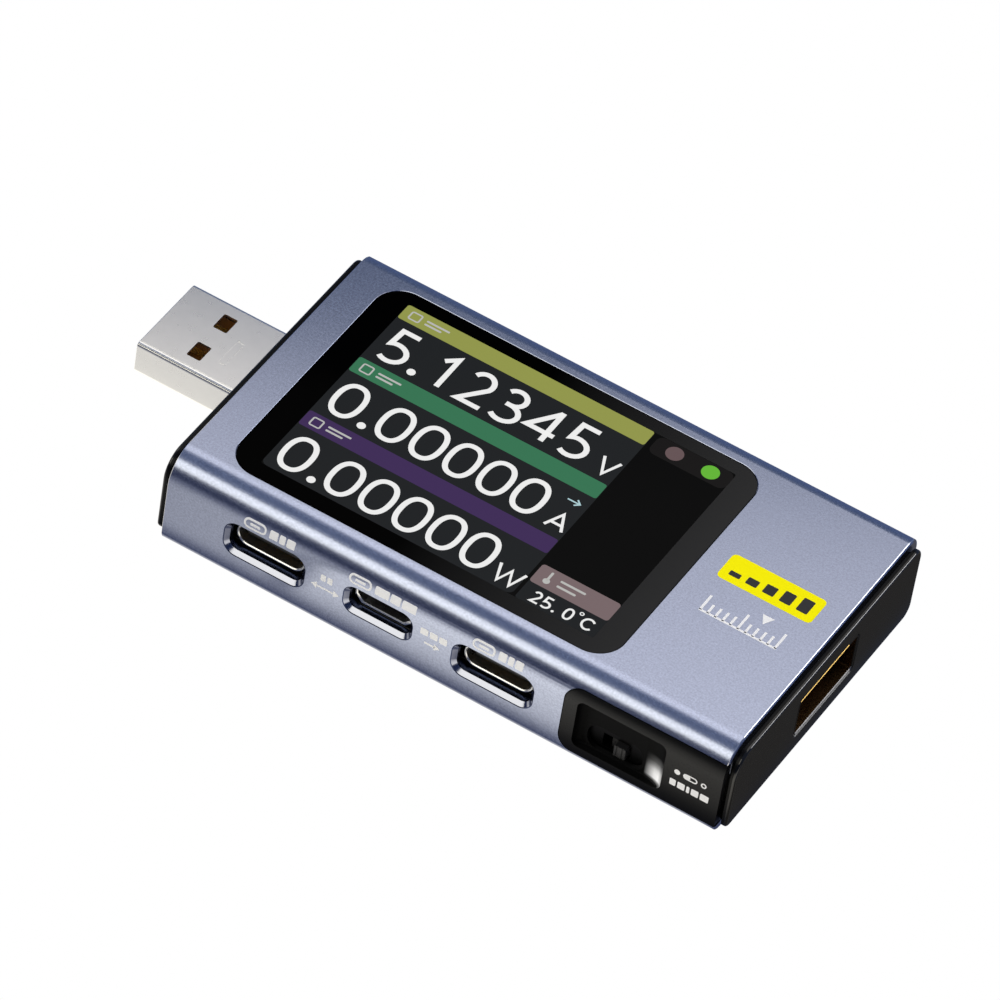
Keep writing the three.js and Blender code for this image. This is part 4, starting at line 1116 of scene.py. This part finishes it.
def floor_material():
    """A floor that is white to the camera and mirrors as bright sheets on a dark bench, with a painted
    contact shadow close in front of the meter.
    """
    material, nodes, _ = new_material("white_floor")
    x, y, _ = nodes.coordinates()
    # Painted contact shadow: the glow fades to nothing close in front of the meter.
    near = nodes.graded(y, [
        (-30, 1.0), (-28.4, 0.88), (-25.7, 0.74), (-24.6, 0.6), (-23.9, 0.4), (-23.35, 0.21),
        (-22.7, 0.06), (-21, 0.0)], -30, -20)
    far = nodes.graded(y, [
        (-200, 0.0), (-150, 0.02), (-100, 0.15), (-68, 0.57), (-43, 0.93), (-35, 1.0)], -300, -20)
    sheets = nodes.graded(x, [
        (-60, 0.14), (-46, 0.28), (-38, 0.42), (-24.5, 0.46), (-22.6, 0.25), (-20.8, 0.25), (-18.2, 0.8),
        (-14, 0.86), (-6, 1.0), (30, 1.0)], -60, 40)
    level = nodes.blend(nodes.blend(near, sheets, "MINIMUM"), far)
    beside = nodes.graded(x, [(-40, 1.0), (-37, 0.0)], -60, -30)
    below = nodes.graded(y, [
        (-60, 0.1), (-20, 0.5), (-10.9, 0.53), (-10.2, 0.8), (-6, 1.0), (-1.5, 1.0), (0, 0.0)], -60, 0)
    level = nodes.blend(level, nodes.blend(beside, below), "MAXIMUM")
    # Painted light: a glow under the meter's front edge, up to the socket cap, where the body stands over
    # the floor.
    under = nodes.graded(y, [
        (-21.6, 0.0), (-21.1, 0.4), (-20.5, 0.6), (-15, 0.6), (-12, 0.0)], -30, -10)
    before_cap = nodes.graded(x, [(33, 1.0), (35.5, 0.0)], 30, 60)
    level = nodes.blend(level, nodes.blend(under, before_cap), "MAXIMUM")
    behind = nodes.graded(y, [(-10, 0.0), (10, 1.0)], -20, 20)
    bench = nodes.mix(behind, (0.065, 0.076, 0.13), (0.085, 0.115, 0.21))
    past_end = nodes.graded(x, [(36.5, 0.0), (38, 1.0), (44, 1.0), (50, 0.0)], 30, 60)
    bench = nodes.mix(past_end, bench, (0.09, 0.085, 0.08))
    glow = nodes.emission(nodes.mix(level, bench, (1.02, 0.975, 0.88)), 1.4)
    nodes.show_camera(nodes.add("Emission").outputs["Emission"], glow, "Material Output")
    return material


def build_floor():
    half = 2500
    block("floor", (-half, -half, -20), (half, half, -0.005), (floor_material(),))


def build_overhead_sheet():
    """A sheet of diffusion above and behind the meter, brighter towards its high front edge."""
    material, nodes, _ = new_material("diffusion_sheet")
    stops = [(91, 0.62), (104, 0.61), (122, 0.92), (145, 0.84)]
    level = nodes.graded(nodes.coordinates()[2], stops, 91, 145)
    glow = nodes.emission(nodes.mix(level, (0, 0, 0), (1.01, 0.98, 0.97)), 1.6)
    nodes.link(glow, material.node_tree.nodes["Material Output"].inputs["Surface"])
    bm = bmesh.new()
    lines = []
    for x in range(-200, 161, 60):
        low, high = Vector((x, 98.5 + 0.4286 * x, 91)), Vector((x, 4.5, 144.6))
        lines.append([bm.verts.new(low.lerp(high, step / 8)) for step in range(9)])
    for left, right in zip(lines, lines[1:]):
        for step in range(8):
            bm.faces.new((left[step], left[step + 1], right[step + 1], right[step]))
    sheet = make_object("overhead_sheet", bm, (material,))
    sheet.visible_camera = False
    sheet.visible_shadow = False


def build_lights():
    softbox("front_softbox", (-115, -275, 280), (0, -20, 11.5), (700, 180), 2.1, (1.0, 0.94, 0.77))
    softbox("end_light", (285, 256, 115), (0, 0, 0), (120, 60), 3.2)


def build_fill_lights(plug, bezel, cap, prints):
    """Small lights for a few pieces: plug, switch scoop, socket cap's edges and printed inks."""
    softbox("plug_light", (-78, 40, 96), (-43, -37, 10), (140, 64), 0.24, (1.0, 0.85, 0.63), only=[plug])
    scoop = Vector((27, -20.5, 4.5))
    towards = Vector((-0.75, -0.5, 0.43)).normalized()
    softbox("scoop_light", scoop + 100 * towards, scoop, (45, 45), 22, only=[bezel])
    softbox("edge_light", (321, 256, 121), (36, 0, 6), (120, 60), 14, only=[cap])
    softbox("print_light", (0, -200, 400), (0, 0, 10), (200, 200), 4.2, only=prints)


# ---------------------------------------------------------------- assembly
bpy.context.scene.view_settings.view_transform = "Standard"
build_camera()
build_world()
build_lights()
build_overhead_sheet()
build_floor()

finish_packed_nodes()
build_sleeve()
build_cap("plug_end_cap", -1, "plug_shell")
socket_cap = build_cap("socket_end_cap", 1, "socket_shell")
bezel = build_bezel()
build_lens()
for port in ("usb_c_in", "usb_c_out"):
    build_port_shell(f"{port}_shell", -1, type_c_shape)
    port_contacts(f"{port}_tongue", 12, 0.5, 0.26)
build_port_shell("micro_b_in_shell", -1, micro_outline)
build_port_shell("data_port_shell", 1, micro_outline)
plug = build_plug_shell()
build_socket_shell()
build_knob()
for number in (1, 2, 3):
    build_button(number)

build_screen_areas()
build_readout()
build_bar_marks()
prints = [*build_label(), build_port_marks(), build_switch_marks()]
build_fill_lights(plug, bezel, socket_cap, prints)
